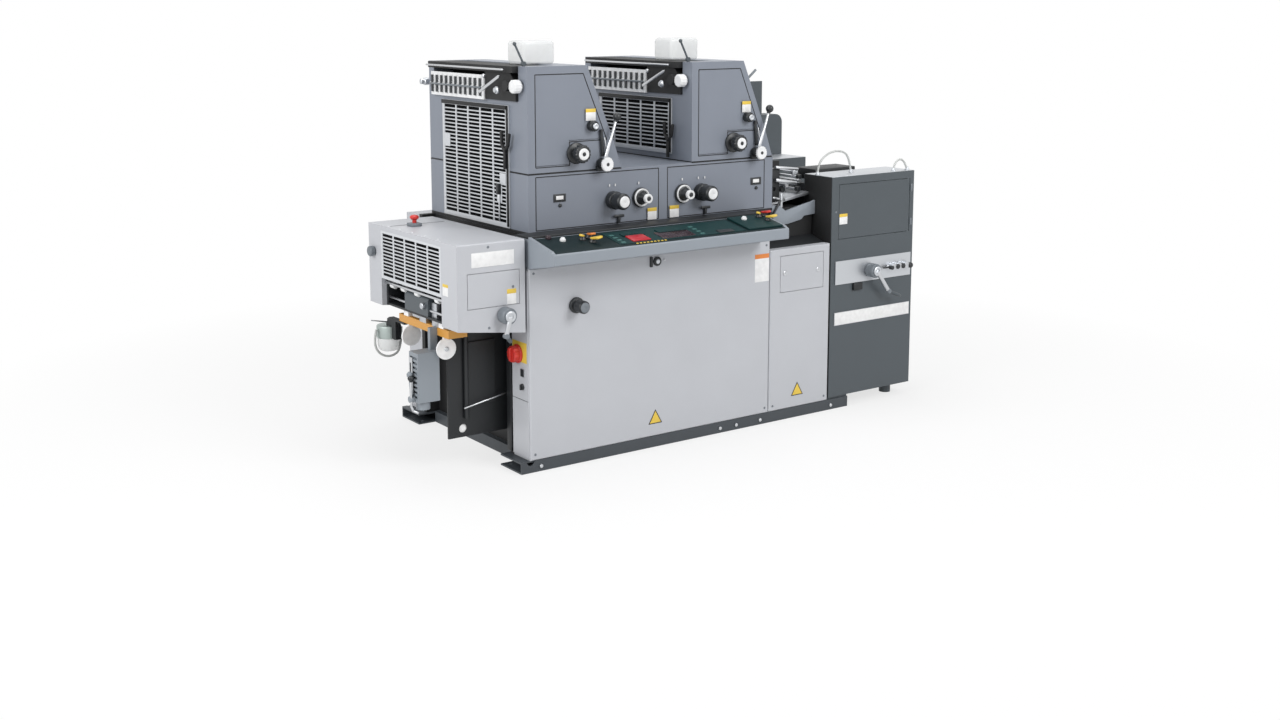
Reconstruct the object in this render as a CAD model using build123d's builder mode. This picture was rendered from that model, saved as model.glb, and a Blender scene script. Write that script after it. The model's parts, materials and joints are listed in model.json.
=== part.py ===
from build123d import *
import math
import os

os.makedirs("parts", exist_ok=True)

# Two-colour offset press, seen from the operator's side: X runs from the delivery on the left
# to the feeder on the right, Y from the operator to the drive side, Z up from the floor.
# The origin is on the floor, under the middle of the machine. Everything is in millimetres.

# Plan of the machine
operator_face = -397      # Y of the front covers
unit_left = -740          # X of the left face of the printing units
tower_pitch = 750         # from one inking tower to the next
side_cover_length = 328
feeder_length = 480
feeder_gap = 6            # between the side cover and the feeder
bed_depth = 726           # between the outer faces of the two side frames
casing_depth = 117        # front covers, from their face to the side frame
drive_depth = 117         # drive covers behind the rear side frame

# Heights above the floor
rail_height = 44
cover_top = 760
unit_bottom = 865
hood_top = 873

# General clearances
seam = 2                  # gap round an inset door or cover
seat = 0.3                # running gap between a turning piece and its seat
swing_gap = 5.3           # room round a piece that swings
edge_round = 6            # rounding of pressed sheet-metal edges
inset_depth = 6           # thickness of an inset cover, and the depth of its pocket
grip_flat_count = 16           # flats round a fluted grip
round_flat_count = 24          # flats round a turned piece, so that its mesh stays light

# Printing units: a common lower housing carries two inking towers
unit_height = 223
unit_front_step = 90      # the units stand back from the front covers
unit_depth = 752
tower_gap = 4             # dark seam between a tower and the housing under it
tower_height = 388
tower_crown = 259         # length of the flat top
tower_shoulder_x = 375
tower_shoulder_drop = 278
tower_foot = 413
unit_end_margin = 4

unit_face = operator_face + unit_front_step
unit_back = unit_face + unit_depth
unit_top = unit_bottom + unit_height
unit_right = unit_left + tower_pitch + tower_foot + unit_end_margin
tower_base = unit_top + tower_gap
tower_top = tower_base + tower_height
tower_lefts = (unit_left, unit_left + tower_pitch)

# Body: the covers reach out to the left of the units, and stop short of them on the right
cover_overhang = 57
cover_setback = 83
cover_left = unit_left - cover_overhang
cover_right = unit_right - cover_setback
side_cover_right = cover_right + side_cover_length
feeder_left = side_cover_right + feeder_gap
feeder_right = feeder_left + feeder_length
frame_front = operator_face + casing_depth
frame_back = frame_front + bed_depth
drive_back = frame_back + drive_depth


def block(x_low, z_low, x_high, z_high, mode=Mode.ADD):
    """A rectangle between two corners, drawn in the current sketch."""
    with Locations(((x_low + x_high) / 2, (z_low + z_high) / 2)):
        Rectangle(x_high - x_low, z_high - z_low, mode=mode)


def disc(x, z, radius, mode=Mode.ADD):
    """The outline of a turned piece about a point, drawn in the current sketch."""
    with Locations((x, z)):
        RegularPolygon(radius, round_flat_count, mode=mode)


def grip(x, z, radius):
    """The many-sided outline of a fluted hand grip."""
    with Locations((x, z)):
        RegularPolygon(radius, grip_flat_count)


def from_front(y):
    """Sketch plane at this Y: right is +X, up is +Z; a negative extrusion goes towards +Y."""
    return Plane.XZ.offset(-y)


def finish(builder, name):
    builder.part.label = name
    export_step(builder.part, f"parts/{name}.step")


# Base frame: a folded channel along each side, open towards the middle, tied by cross members
rail_overhang = 40
feeder_lap = 111          # how far the rails run in under the feeder
rail_depth = 150
rail_wall = 6
notch_radius = 17
anchor_radius = 9
anchor_inset = 25
rail_left = cover_left - rail_overhang
rail_right = feeder_left + feeder_lap

member_width = 90
member_inset = 75
with BuildPart() as base_frame:
    for rail_face, inward in ((operator_face, 1), (drive_back, -1)):
        inner_edge = rail_face + inward * rail_depth
        inner_web = rail_face + inward * rail_wall
        anchor_y = inner_edge - inward * anchor_inset
        with BuildSketch(Plane.YZ.offset(rail_left)):
            with BuildLine():
                Polyline(
                    (inner_edge, 0),
                    (rail_face, 0),
                    (rail_face, rail_height),
                    (inner_edge, rail_height),
                    (inner_edge, rail_height - rail_wall),
                    (inner_web, rail_height - rail_wall),
                    (inner_web, rail_wall),
                    (inner_edge, rail_wall),
                    close=True,
                )
            make_face()
        extrude(amount=rail_right - rail_left)
        with BuildSketch(from_front(rail_face)):
            disc(cover_left, rail_height, notch_radius)
        extrude(amount=-inward * rail_wall, mode=Mode.SUBTRACT)
        with BuildSketch(Plane.XY):
            with Locations((rail_left + anchor_inset, anchor_y), (rail_right - anchor_inset, anchor_y)):
                Circle(anchor_radius)
        extrude(amount=rail_wall, mode=Mode.SUBTRACT)
    with BuildSketch(Plane.XY):
        for member_left in (
            rail_left + member_inset,
            (rail_left + rail_right - member_width) / 2,
            rail_right - member_inset - member_width,
        ):
            block(
                member_left,
                operator_face + rail_depth,
                member_left + member_width,
                drive_back - rail_depth,
            )
    extrude(amount=rail_height)
finish(base_frame, "base_frame")

# Machine body: two cast side frames with a closed core between them, set back at both ends
frame_thickness = 25
body_inset = 60
core_left = cover_left + body_inset
with BuildPart() as machine_body:
    for plate_face in (frame_front, frame_back - frame_thickness):
        with BuildSketch(from_front(plate_face)):
            block(cover_left, rail_height, side_cover_right, unit_bottom)
        extrude(amount=-frame_thickness)
    with BuildSketch(from_front(frame_front + frame_thickness)):
        block(core_left, rail_height, side_cover_right - body_inset, unit_bottom)
    extrude(amount=-(bed_depth - 2 * frame_thickness))
finish(machine_body, "machine_body")

# Front covers: deep pressed casings on the operator's side frame
with BuildPart() as front_cover:
    with BuildSketch(from_front(operator_face)):
        block(cover_left, rail_height, cover_right - seam / 2, cover_top)
    extrude(amount=-casing_depth)
    fillet(front_cover.faces().sort_by(Axis.Y)[0].edges(), edge_round)
finish(front_cover, "front_cover")

side_cover_drop = 43      # the side cover stops this far under the front cover's top
side_rim_height = 26
side_rim_depth = 80
side_door_margin = 35
side_door_left_margin = 55
side_door_drop = 28
side_door_height = 153
side_cover_top = cover_top - side_cover_drop
side_door_left = cover_right + side_door_left_margin
side_door_right = side_cover_right - side_door_margin
side_door_top = side_cover_top - side_door_drop
side_door_bottom = side_door_top - side_door_height
with BuildPart() as side_cover:
    with BuildSketch(from_front(operator_face)):
        block(cover_right + seam / 2, rail_height, side_cover_right, side_cover_top)
    extrude(amount=-casing_depth)
    fillet(side_cover.faces().sort_by(Axis.Y)[0].edges(), edge_round)
    with BuildSketch(from_front(operator_face)):
        block(side_door_left, side_door_bottom, side_door_right, side_door_top)
    extrude(amount=-inset_depth, mode=Mode.SUBTRACT)
finish(side_cover, "side_cover")

# Sloping dark rim that closes the gap over the side cover
with BuildPart() as side_rim:
    with BuildSketch(Plane.YZ.offset(cover_right + seam / 2)):
        with BuildLine():
            Polyline(
                (frame_front - side_rim_depth, side_cover_top),
                (frame_front, side_cover_top),
                (frame_front, side_cover_top + side_rim_height),
                close=True,
            )
        make_face()
    extrude(amount=side_cover_length - seam / 2)
finish(side_rim, "side_cover_rim")

# Switch panel on the left end of the front cover
panel_thickness = 4
panel_margin = 8
switch_setback = 75
switch_height = 437
switch_radius = 35
switch_length = 30
switch_bar_width = 11
switch_bar_height = 10
selector_height = 318
rocker_height = 370
rocker_width = 24
rocker_length = 30
rocker_stand = 3
small_switch_setback = 40
panel_outer = cover_left - panel_thickness
switch_y = operator_face + switch_setback
small_switch_y = operator_face + small_switch_setback
with BuildPart() as switch_panel:
    with BuildSketch(Plane.YZ.offset(cover_left)):
        block(
            operator_face + edge_round,
            rail_height + panel_margin,
            frame_front,
            cover_top - panel_margin,
        )
    extrude(amount=-panel_thickness)
    with BuildSketch(Plane.YZ.offset(panel_outer)):
        with Locations((small_switch_y, rocker_height)):
            Rectangle(rocker_width, rocker_length)
        disc(small_switch_y, selector_height, rocker_width / 2)
    extrude(amount=-rocker_stand)
finish(switch_panel, "switch_panel")

with BuildPart() as main_switch:
    with BuildSketch(Plane.YZ.offset(panel_outer - seat)):
        grip(switch_y, switch_height, switch_radius)
    extrude(amount=-switch_length)
    with BuildSketch(Plane.YZ.offset(panel_outer - seat - switch_length)):
        with Locations((switch_y, switch_height)):
            Rectangle(switch_bar_width, 2 * switch_radius - 4)
    extrude(amount=-switch_bar_height)
finish(main_switch, "main_switch")

# Control console: a housing with a sloping top along the front cover
console_reach = 170
console_setback = 51      # the console stops this far short of the front cover's right edge
lip_rise = 33
lip_height = 42
console_rise = 108
cheek_width = 12
cheek_rise = 8
lip_low = cover_top + lip_rise
lip_high = lip_low + lip_height
console_back_top = cover_top + console_rise
console_right = cover_right - console_setback
console_front = operator_face - console_reach
console_back = unit_face - seam
with BuildPart() as console_housing:
    with BuildSketch(Plane.YZ.offset(cover_left)):
        with BuildLine():
            Polyline(
                (operator_face, cover_top),
                (console_front, lip_low),
                (console_front, lip_high),
                (operator_face, console_back_top),
                (console_back, console_back_top),
                (console_back, cover_top),
                close=True,
            )
        make_face()
    extrude(amount=console_right - cover_left)
    fillet(console_housing.edges().filter_by(Axis.X).group_by(Axis.Y)[0], edge_round)
    for cheek_x in (cover_left, console_right - cheek_width):
        with BuildSketch(Plane.YZ.offset(cheek_x)):
            with BuildLine():
                Polyline(
                    (console_front + edge_round, lip_high),
                    (console_front + 3 * edge_round, lip_high + cheek_rise),
                    (operator_face, console_back_top + cheek_rise),
                    (operator_face, console_back_top),
                    close=True,
                )
            make_face()
        extrude(amount=cheek_width)
finish(console_housing, "console_housing")

# Console face: a keypad plate with two displays and two lenses, on the slope
slope_run = console_reach
slope_rise = console_back_top - lip_high
slope_length = math.hypot(slope_run, slope_rise)
slope_plane = Plane(
    origin=(cover_left, console_front, lip_high),
    x_dir=(1, 0, 0),
    z_dir=(0, -slope_rise, slope_run),
)
keypad_left = 300         # along the console from its left end
keypad_length = 590
keypad_margin = 22
keypad_thickness = 3
display_length = 96
display_height = 30
display_stand = 4
lens_length = 130
with BuildPart() as console_panel:
    with BuildSketch(slope_plane):
        block(keypad_left, keypad_margin, keypad_left + keypad_length, slope_length - keypad_margin)
    extrude(amount=keypad_thickness)
    with BuildSketch(slope_plane.offset(keypad_thickness)):
        block(keypad_left + 60, 90, keypad_left + 60 + display_length, 90 + display_height)
        block(keypad_left + 220, 90, keypad_left + 220 + lens_length, 90 + display_height)
    extrude(amount=display_stand)
finish(console_panel, "console_panel")

# Hand levers and push buttons on the console
lever_length = 62
lever_radius = 5
lever_bay = (console_right - cover_left) - (keypad_left + keypad_length)
lever_pitch = 0.14 * lever_bay
lever_step = 14           # the outer levers are shorter than the middle one
lever_group_1 = 0.55 * keypad_left
lever_group_2 = keypad_left + keypad_length + 0.375 * lever_bay
button_radius = 11
button_height = 12
with BuildPart() as console_levers:
    for group_x in (lever_group_1, lever_group_2):
        for step in (-1, 0, 1):
            with BuildSketch(slope_plane):
                with Locations((group_x + step * lever_pitch, slope_length / 2)):
                    RegularPolygon(lever_radius, 8)
            extrude(amount=lever_length - abs(step) * lever_step)
    with BuildSketch(slope_plane):
        grip(50, slope_length * 0.3, button_radius)
        grip(keypad_left + keypad_length + 30, slope_length * 0.6, button_radius)
    extrude(amount=button_height)
finish(console_levers, "console_levers")

# Lower unit housing, open on the left behind the guard
lower_door_rise = 15
lower_door_drop = 11
lower_door_margin = 32
lower_door_end_margin = 44
door_post = 43
door_split = 610          # from the left face of the units to the post between the doors
guard_front_margin = 127  # from the units' front face to the guard
guard_back_margin = 117
guard_rise = 246          # top of the guards over the lower housing
guard_clear = 4           # between the first guard and the top of the delivery hood
recess_depth = 150
recess_margin = 14
lower_door_bottom = unit_bottom + lower_door_rise
lower_door_top = unit_top - lower_door_drop
left_door = (unit_left + lower_door_margin, unit_left + door_split - door_post / 2)
right_door = (unit_left + door_split + door_post / 2, unit_right - lower_door_end_margin)
guard_front = unit_face + guard_front_margin
guard_back = unit_back - guard_back_margin
guard_top = unit_top + guard_rise
guard_bottoms = (hood_top + guard_clear, tower_base + 20)
recess_front = guard_front + recess_margin
recess_back = guard_back - recess_margin

with BuildPart() as lower_unit_housing:
    with BuildSketch(from_front(unit_face)):
        block(unit_left, unit_bottom, unit_right, unit_top)
    extrude(amount=-unit_depth)
    with BuildSketch(Plane.YZ.offset(unit_left)):
        block(recess_front, guard_bottoms[0] + recess_margin, recess_back, unit_top)
    extrude(amount=recess_depth, mode=Mode.SUBTRACT)
    with BuildSketch(from_front(unit_face)):
        for door_left, door_right in (left_door, right_door):
            block(door_left, lower_door_bottom, door_right, lower_door_top)
    extrude(amount=-inset_depth, mode=Mode.SUBTRACT)
finish(lower_unit_housing, "lower_unit_housing")

# Inking towers: a flat crown and a sloping face towards the feeder
fountain_front_margin = 61
fountain_back_margin = 42
fountain_depth = 150
fountain_front = unit_face + fountain_front_margin
fountain_back = unit_back - fountain_back_margin
fountain_floor = guard_top + 18
foot_inset = 8            # of the foot in the dark seam under a tower
cover_side = 33
cover_foot = 24
cover_head = 30
cover_notch_x = 180
cover_notch_rise = 88
cover_notch_radius = 34


def cover_outline(tower_left):
    """The corners of a tower's inset front cover, notched round the handwheel."""
    slope = (tower_shoulder_x - tower_crown) / tower_shoulder_drop
    head = tower_top - cover_head
    notch = tower_base + cover_foot + cover_notch_rise
    edge_x = tower_left + tower_crown - cover_side / 2
    return [
        (tower_left + cover_side, tower_base + cover_foot),
        (tower_left + cover_side, head),
        (edge_x, head),
        (edge_x + slope * (head - notch), notch),
        (tower_left + cover_notch_x, notch),
        (tower_left + cover_notch_x, tower_base + cover_foot),
    ]


for number, tower_left in enumerate(tower_lefts, start=1):
    recess_low = max(unit_top, guard_bottoms[number - 1] + recess_margin)
    with BuildPart() as tower:
        with BuildSketch(from_front(unit_face)):
            with BuildLine():
                Polyline(
                    (tower_left, tower_base),
                    (tower_left, tower_top),
                    (tower_left + tower_crown, tower_top),
                    (tower_left + tower_shoulder_x, tower_top - tower_shoulder_drop),
                    (tower_left + tower_foot, tower_base),
                    close=True,
                )
            make_face()
        extrude(amount=-unit_depth)
        with BuildSketch(from_front(unit_face + foot_inset)):
            block(tower_left + foot_inset, unit_top, tower_left + tower_foot - foot_inset, tower_base)
        extrude(amount=-(unit_depth - 2 * foot_inset))
        with BuildSketch(Plane.YZ.offset(tower_left)):
            block(recess_front, recess_low, recess_back, guard_top - recess_margin)
        extrude(amount=recess_depth, mode=Mode.SUBTRACT)
        with BuildSketch(Plane.YZ.offset(tower_left)):
            block(fountain_front, fountain_floor, fountain_back, tower_top)
        extrude(amount=fountain_depth, mode=Mode.SUBTRACT)
        with BuildSketch(from_front(unit_face)):
            with BuildLine():
                Polyline(*cover_outline(tower_left), close=True)
            make_face()
        extrude(amount=-inset_depth, mode=Mode.SUBTRACT)
    finish(tower, f"tower_{number}_housing")

# Doors of the lower housing, and the inset covers of the towers
with BuildPart() as unit_covers:
    with BuildSketch(from_front(unit_face)):
        for door_left, door_right in (left_door, right_door):
            block(
                door_left + seam,
                lower_door_bottom + seam,
                door_right - seam,
                lower_door_top - seam,
            )
    extrude(amount=-inset_depth)
    for tower_left in tower_lefts:
        with BuildSketch(from_front(unit_face)):
            with BuildLine():
                Polyline(*cover_outline(tower_left), close=True)
            make_face()
            offset(amount=-seam, kind=Kind.INTERSECTION)
        extrude(amount=-inset_depth)
finish(unit_covers, "unit_covers")

# Handles and sight windows on the lower doors
tee_width = 51
tee_height = 37
tee_stand = 14
tee_offsets = (428 - 89, 1180 - 898)
window_width = 48
window_height = 22
window_rise = 106
window_stand = 2
with BuildPart() as door_fittings:
    with BuildSketch(from_front(unit_face)):
        for tee_left in (left_door[0] + tee_offsets[0], right_door[1] - tee_offsets[1] - tee_width):
            block(
                tee_left,
                lower_door_bottom - seam,
                tee_left + tee_width,
                lower_door_bottom + tee_height,
            )
    extrude(amount=tee_stand)
    with BuildSketch(from_front(unit_face)):
        for window_left in (
            left_door[0] + 1.5 * window_width,
            right_door[1] - 0.5 * window_width - window_width,
        ):
            block(
                window_left,
                lower_door_bottom + window_rise,
                window_left + window_width,
                lower_door_bottom + window_rise + window_height,
            )
    extrude(amount=window_stand)
finish(door_fittings, "door_fittings")

# Ink fountains: a trough across each tower, with a cast end that stands out to the left
casting_length = 222
casting_reach = 12
casting_nose = 40
trough_wall = 8
trough_drop = 26
lid_height = 24
lid_reach = 26
fountain_knob_radius = 20
fountain_knob_length = 34
fountain_knob_y = fountain_front + 20
fountain_knob_z = fountain_floor + 58
fountain_right_inset = 40
with BuildPart() as ink_fountains:
    for tower_left in tower_lefts:
        trough_right = tower_left + fountain_depth - fountain_right_inset
        with BuildSketch(from_front(fountain_front)):
            with BuildLine():
                Polyline(
                    (tower_left, fountain_floor),
                    (trough_right, fountain_floor),
                    (trough_right, tower_top - lid_height),
                    (trough_right - trough_wall, tower_top - lid_height),
                    (tower_left + casting_nose, tower_top - 3 * trough_drop),
                    (tower_left, fountain_floor + 2 * trough_drop),
                    close=True,
                )
            make_face()
        extrude(amount=-(fountain_back - fountain_front))
        with BuildSketch(Plane.YZ.offset(tower_left + casting_nose)):
            with BuildLine():
                Polyline(
                    (fountain_front, fountain_floor),
                    (fountain_front + casting_length, fountain_floor),
                    (fountain_front + casting_length, tower_top - lid_height),
                    (fountain_front + casting_nose, tower_top - lid_height),
                    (fountain_front, tower_top - lid_height - casting_nose),
                    close=True,
                )
            make_face()
        extrude(amount=-(casting_nose + casting_reach))
        with BuildSketch(Plane.XY.offset(tower_top - lid_height)):
            block(tower_left - lid_reach, fountain_front, trough_right, fountain_back)
        extrude(amount=lid_height)
        with BuildSketch(Plane.YZ.offset(tower_left - casting_reach)):
            grip(fountain_knob_y, fountain_knob_z, fountain_knob_radius)
        extrude(amount=-fountain_knob_length)
finish(ink_fountains, "ink_fountains")

# Key plates: a row of ink keys set in a pale plate in front of each trough
key_count = 11
key_width = 9
key_length = 62
key_stand = 5
key_plate_reach = 18
key_plate_thickness = 10
key_rod_radius = 5
key_plate_margin = 9
key_front = fountain_front + casting_length + seat
key_back = fountain_back - key_plate_margin
key_bottom = fountain_floor - 3
key_top = key_bottom + 92
key_middle = (key_bottom + key_top) / 2
key_pitch = (key_back - key_front) / key_count
with BuildPart() as ink_key_plates:
    for tower_left in tower_lefts:
        key_face = tower_left - key_plate_reach
        with BuildSketch(Plane.YZ.offset(key_face + key_plate_thickness)):
            block(key_front, key_bottom, key_back, key_top)
        extrude(amount=-key_plate_thickness)
        with BuildSketch(Plane.YZ.offset(key_face)):
            with Locations(((key_front + key_back) / 2, key_middle)):
                with GridLocations(key_pitch, key_length, key_count, 1):
                    Rectangle(key_width, key_length)
        extrude(amount=-key_stand)
        with BuildSketch(Plane.YZ.offset(tower_left)):
            block(key_front, fountain_floor, key_back, fountain_floor + trough_drop)
        extrude(amount=-(key_plate_reach - key_plate_thickness))
        with BuildSketch(from_front(key_front)):
            with Locations((key_face - key_stand / 2, key_middle)):
                RegularPolygon(key_rod_radius, 8, rotation=10)
        extrude(amount=-(key_back - key_front))
finish(ink_key_plates, "ink_key_plates")

# Inking rollers behind the guards, carried in the walls of the recess
roller_gap = 12           # between the surfaces of neighbouring rollers
lower_roller_radius = 62
form_roller_radius = 30
roller_x = recess_depth / 2
lower_roller_z = unit_top - lower_roller_radius - roller_gap
form_roller_z = guard_bottoms[1] + recess_margin + roller_gap + form_roller_radius
rider_roller_z = form_roller_z + 2 * form_roller_radius + roller_gap
with BuildPart() as inking_rollers:
    with BuildSketch(from_front(recess_front)):
        disc(unit_left + roller_x, lower_roller_z, lower_roller_radius)
        for tower_left in tower_lefts:
            disc(tower_left + roller_x, form_roller_z, form_roller_radius)
            disc(tower_left + roller_x, rider_roller_z, form_roller_radius)
    extrude(amount=-(recess_back - recess_front))
finish(inking_rollers, "inking_rollers")

# Solution bottles lying on the towers
bottle_length = 205
bottle_width = 120
bottle_height = 90
bottle_corner = 28
bottle_starts = (33, -3)  # left end of each bottle, from the left face of its tower
bottle_settings = (153, 193)  # near side of each bottle, from the units' front face
bottle_z = tower_top + bottle_height / 2
with BuildPart() as solution_bottles:
    for tower_left, start, setting in zip(tower_lefts, bottle_starts, bottle_settings):
        bottle_left = tower_left + start
        bottle_y = unit_face + setting + bottle_width / 2
        with BuildSketch(Plane.YZ.offset(bottle_left)):
            with Locations((bottle_y, bottle_z)):
                RectangleRounded(bottle_width, bottle_height, bottle_corner)
        extrude(amount=bottle_length)
finish(solution_bottles, "solution_bottles")

# Slotted guards, hinged along the top edge
guard_thickness = 6
slot_columns = 5
slot_bar = 15.6           # the metal left between two columns of slots
slot_height = 8
slot_pitch = 15
slot_margin = 30
guard_handle_y = guard_front + 34
handle_stand = 26
handle_thickness = 14
handle_drop = 118         # from the guard's top to the top of its handle
handle_height = 94
handle_spread = 30
handle_stem = 9
for number, tower_left in enumerate(tower_lefts, start=1):
    guard_bottom = guard_bottoms[number - 1]
    guard_inner = tower_left - seat
    guard_outer = guard_inner - guard_thickness
    slot_rows = int((guard_top - guard_bottom - 2 * slot_margin) // slot_pitch)
    handle_top = guard_top - handle_drop
    handle_low = handle_top - handle_height
    handle_fork = (handle_top + handle_low) / 2
    column_pitch = (guard_back - guard_front - slot_margin) / slot_columns
    slot_width = column_pitch - slot_bar
    with BuildPart() as guard:
        with BuildSketch(Plane.YZ.offset(guard_inner)):
            block(guard_front, guard_bottom, guard_back, guard_top)
            with Locations(((guard_front + guard_back) / 2, (guard_bottom + guard_top) / 2)):
                with GridLocations(column_pitch, slot_pitch, slot_columns, slot_rows):
                    Rectangle(slot_width, slot_height, mode=Mode.SUBTRACT)
        extrude(amount=-guard_thickness)
        with BuildSketch(Plane.YZ.offset(guard_outer)):
            with BuildLine():
                Polyline(
                    (guard_handle_y - handle_stem, handle_low),
                    (guard_handle_y + handle_stem, handle_low),
                    (guard_handle_y + handle_stem, handle_fork),
                    (guard_handle_y + handle_spread, handle_top),
                    (guard_handle_y + handle_spread - 2 * handle_stem, handle_top),
                    (guard_handle_y, handle_fork + 2 * handle_stem),
                    (guard_handle_y - handle_spread + 2 * handle_stem, handle_top),
                    (guard_handle_y - handle_spread, handle_top),
                    (guard_handle_y - handle_stem, handle_fork),
                    close=True,
                )
            make_face()
        extrude(amount=-handle_stand)
    finish(guard, f"guard_{number}")

# Controls on the front of each tower
throw_x = 317             # from the left face of the tower
throw_rise = 20
throw_hub_radius = 18
throw_hub_length = 46
throw_disc_radius = 22
throw_disc_length = 12
throw_rod_radius = 5
throw_rod_length = 184
throw_rod_side = 61       # how far the rod leans to the right, for its rise
throw_rod_rise = 174
throw_ball_radius = 14
wheel_x = 206
wheel_rise = 65
wheel_radius = 40
wheel_rim = 10
wheel_neck_radius = 20
wheel_neck_length = 30
wheel_grip_radius = 29
wheel_grip_length = 25
dial_x = 276
dial_rise = 163
dial_radius = 22
dial_length = 50
dial_ring_radius = 13
dial_ring_length = 17
top_lever_x = 12
top_hub_radius = 9
top_hub_length = 12
top_lever_length = 88
top_lever_lean = 27
top_rod_radius = 4
tip_radius = 7


ball_flat_count = 12
ball_chamfer = 0.55       # of a ball's ends, as a share of its radius


def lever_arm(origin, direction, rod_radius, rod_length, ball_radius):
    """A rod with a ball knob on its far end, added to the current part."""
    step = Vector(*direction).normalized()
    start = Vector(*origin)
    with BuildSketch(Plane(origin=start + step * (rod_length - ball_radius), z_dir=step)) as ball:
        RegularPolygon(ball_radius, ball_flat_count)
    extrude(ball.sketch, amount=2 * ball_radius)
    rims = [edge for edge in edges(Select.LAST) if abs((edge % 0.5).dot(step)) < 0.5]
    chamfer(rims, ball_radius * ball_chamfer)
    with BuildSketch(Plane(origin=start, z_dir=step)) as rod:
        RegularPolygon(rod_radius, 10)
    extrude(rod.sketch, amount=rod_length)


for number, tower_left in enumerate(tower_lefts, start=1):
    controls_face = unit_face - seat
    throw_z = tower_base + throw_rise
    throw_arm_y = controls_face - throw_hub_length / 2
    with BuildPart() as throw_lever:
        with BuildSketch(from_front(controls_face)):
            disc(tower_left + throw_x, throw_z, throw_hub_radius)
        extrude(amount=throw_hub_length)
        with BuildSketch(from_front(controls_face - throw_hub_length)):
            disc(tower_left + throw_x, throw_z, throw_disc_radius)
        extrude(amount=throw_disc_length)
        lever_arm(
            (tower_left + throw_x, throw_arm_y, throw_z),
            (throw_rod_side, 0, throw_rod_rise),
            throw_rod_radius,
            throw_rod_length,
            throw_ball_radius,
        )
    finish(throw_lever, f"throw_lever_{number}")

    wheel_z = tower_base + wheel_rise
    with BuildPart() as handwheel:
        with BuildSketch(from_front(controls_face)):
            disc(tower_left + wheel_x, wheel_z, wheel_radius)
        extrude(amount=wheel_rim)
        with BuildSketch(from_front(controls_face - wheel_rim)):
            disc(tower_left + wheel_x, wheel_z, wheel_neck_radius)
        extrude(amount=wheel_neck_length)
        with BuildSketch(from_front(controls_face - wheel_rim - wheel_neck_length)):
            grip(tower_left + wheel_x, wheel_z, wheel_grip_radius)
        extrude(amount=wheel_grip_length)
    finish(handwheel, f"handwheel_{number}")

    dial_z = tower_base + dial_rise
    with BuildPart() as dial_knob:
        with BuildSketch(from_front(controls_face)):
            grip(tower_left + dial_x, dial_z, dial_radius)
        extrude(amount=dial_length)
        with BuildSketch(from_front(controls_face - dial_length)):
            grip(tower_left + dial_x, dial_z, dial_ring_radius)
        extrude(amount=dial_ring_length)
    finish(dial_knob, f"dial_knob_{number}")

    top_pivot_z = tower_top + seat + top_hub_radius
    top_lever_y = fountain_front - 2 * top_hub_length
    lean = math.radians(top_lever_lean)
    with BuildPart() as top_lever:
        with BuildSketch(from_front(top_lever_y)):
            grip(tower_left + top_lever_x, top_pivot_z, top_hub_radius)
        extrude(amount=-top_hub_length)
        lever_arm(
            (tower_left + top_lever_x, top_lever_y + top_hub_length / 2, top_pivot_z),
            (-math.sin(lean), 0, math.cos(lean)),
            top_rod_radius,
            top_lever_length - tip_radius,
            tip_radius,
        )
    finish(top_lever, f"top_lever_{number}")

# Knobs on the lower doors: two plate-cylinder knobs and two flanged ones between them
knob_rise = 90
plate_knob_radius = 34
plate_knob_base = 32
plate_knob_neck_radius = 21
plate_knob_reach = 83
side_knob_radius = 38
side_knob_ring = 12
side_knob_cap_radius = 18
side_knob_reach = 59
left_plate_knob_x = left_door[1] - 217.5
left_side_knob_x = left_door[1] - 87.5
right_side_knob_x = right_door[0] + 72
right_plate_knob_x = right_door[0] + 161
knob_z = lower_door_bottom + knob_rise
knob_face = unit_face - seat
for number, knob_x in enumerate((left_plate_knob_x, right_plate_knob_x), start=1):
    with BuildPart() as plate_knob:
        with BuildSketch(from_front(knob_face)):
            grip(knob_x, knob_z, plate_knob_radius)
        extrude(amount=plate_knob_base)
        with BuildSketch(from_front(knob_face - plate_knob_base)):
            disc(knob_x, knob_z, plate_knob_neck_radius)
        extrude(amount=plate_knob_reach - plate_knob_base)
    finish(plate_knob, f"plate_knob_{number}")

for number, knob_x in enumerate((left_side_knob_x, right_side_knob_x), start=1):
    with BuildPart() as side_knob:
        with BuildSketch(from_front(knob_face)):
            disc(knob_x, knob_z, side_knob_radius)
        extrude(amount=side_knob_ring)
        with BuildSketch(from_front(knob_face - side_knob_ring)):
            grip(knob_x, knob_z, side_knob_cap_radius)
        extrude(amount=side_knob_reach - side_knob_ring)
    finish(side_knob, f"side_knob_{number}")

# Round knob on the front cover
cover_knob_inset = 200
cover_knob_height = 606
cover_knob_radius = 28
cover_knob_length = 34
cover_knob_cap_radius = 17
cover_knob_cap_length = 18
with BuildPart() as cover_knob:
    with BuildSketch(from_front(operator_face - seat)):
        disc(cover_left + cover_knob_inset, cover_knob_height, cover_knob_radius)
    extrude(amount=cover_knob_length)
    with BuildSketch(from_front(operator_face - seat - cover_knob_length)):
        grip(cover_left + cover_knob_inset, cover_knob_height, cover_knob_cap_radius)
    extrude(amount=cover_knob_cap_length)
finish(cover_knob, "cover_knob")

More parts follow.
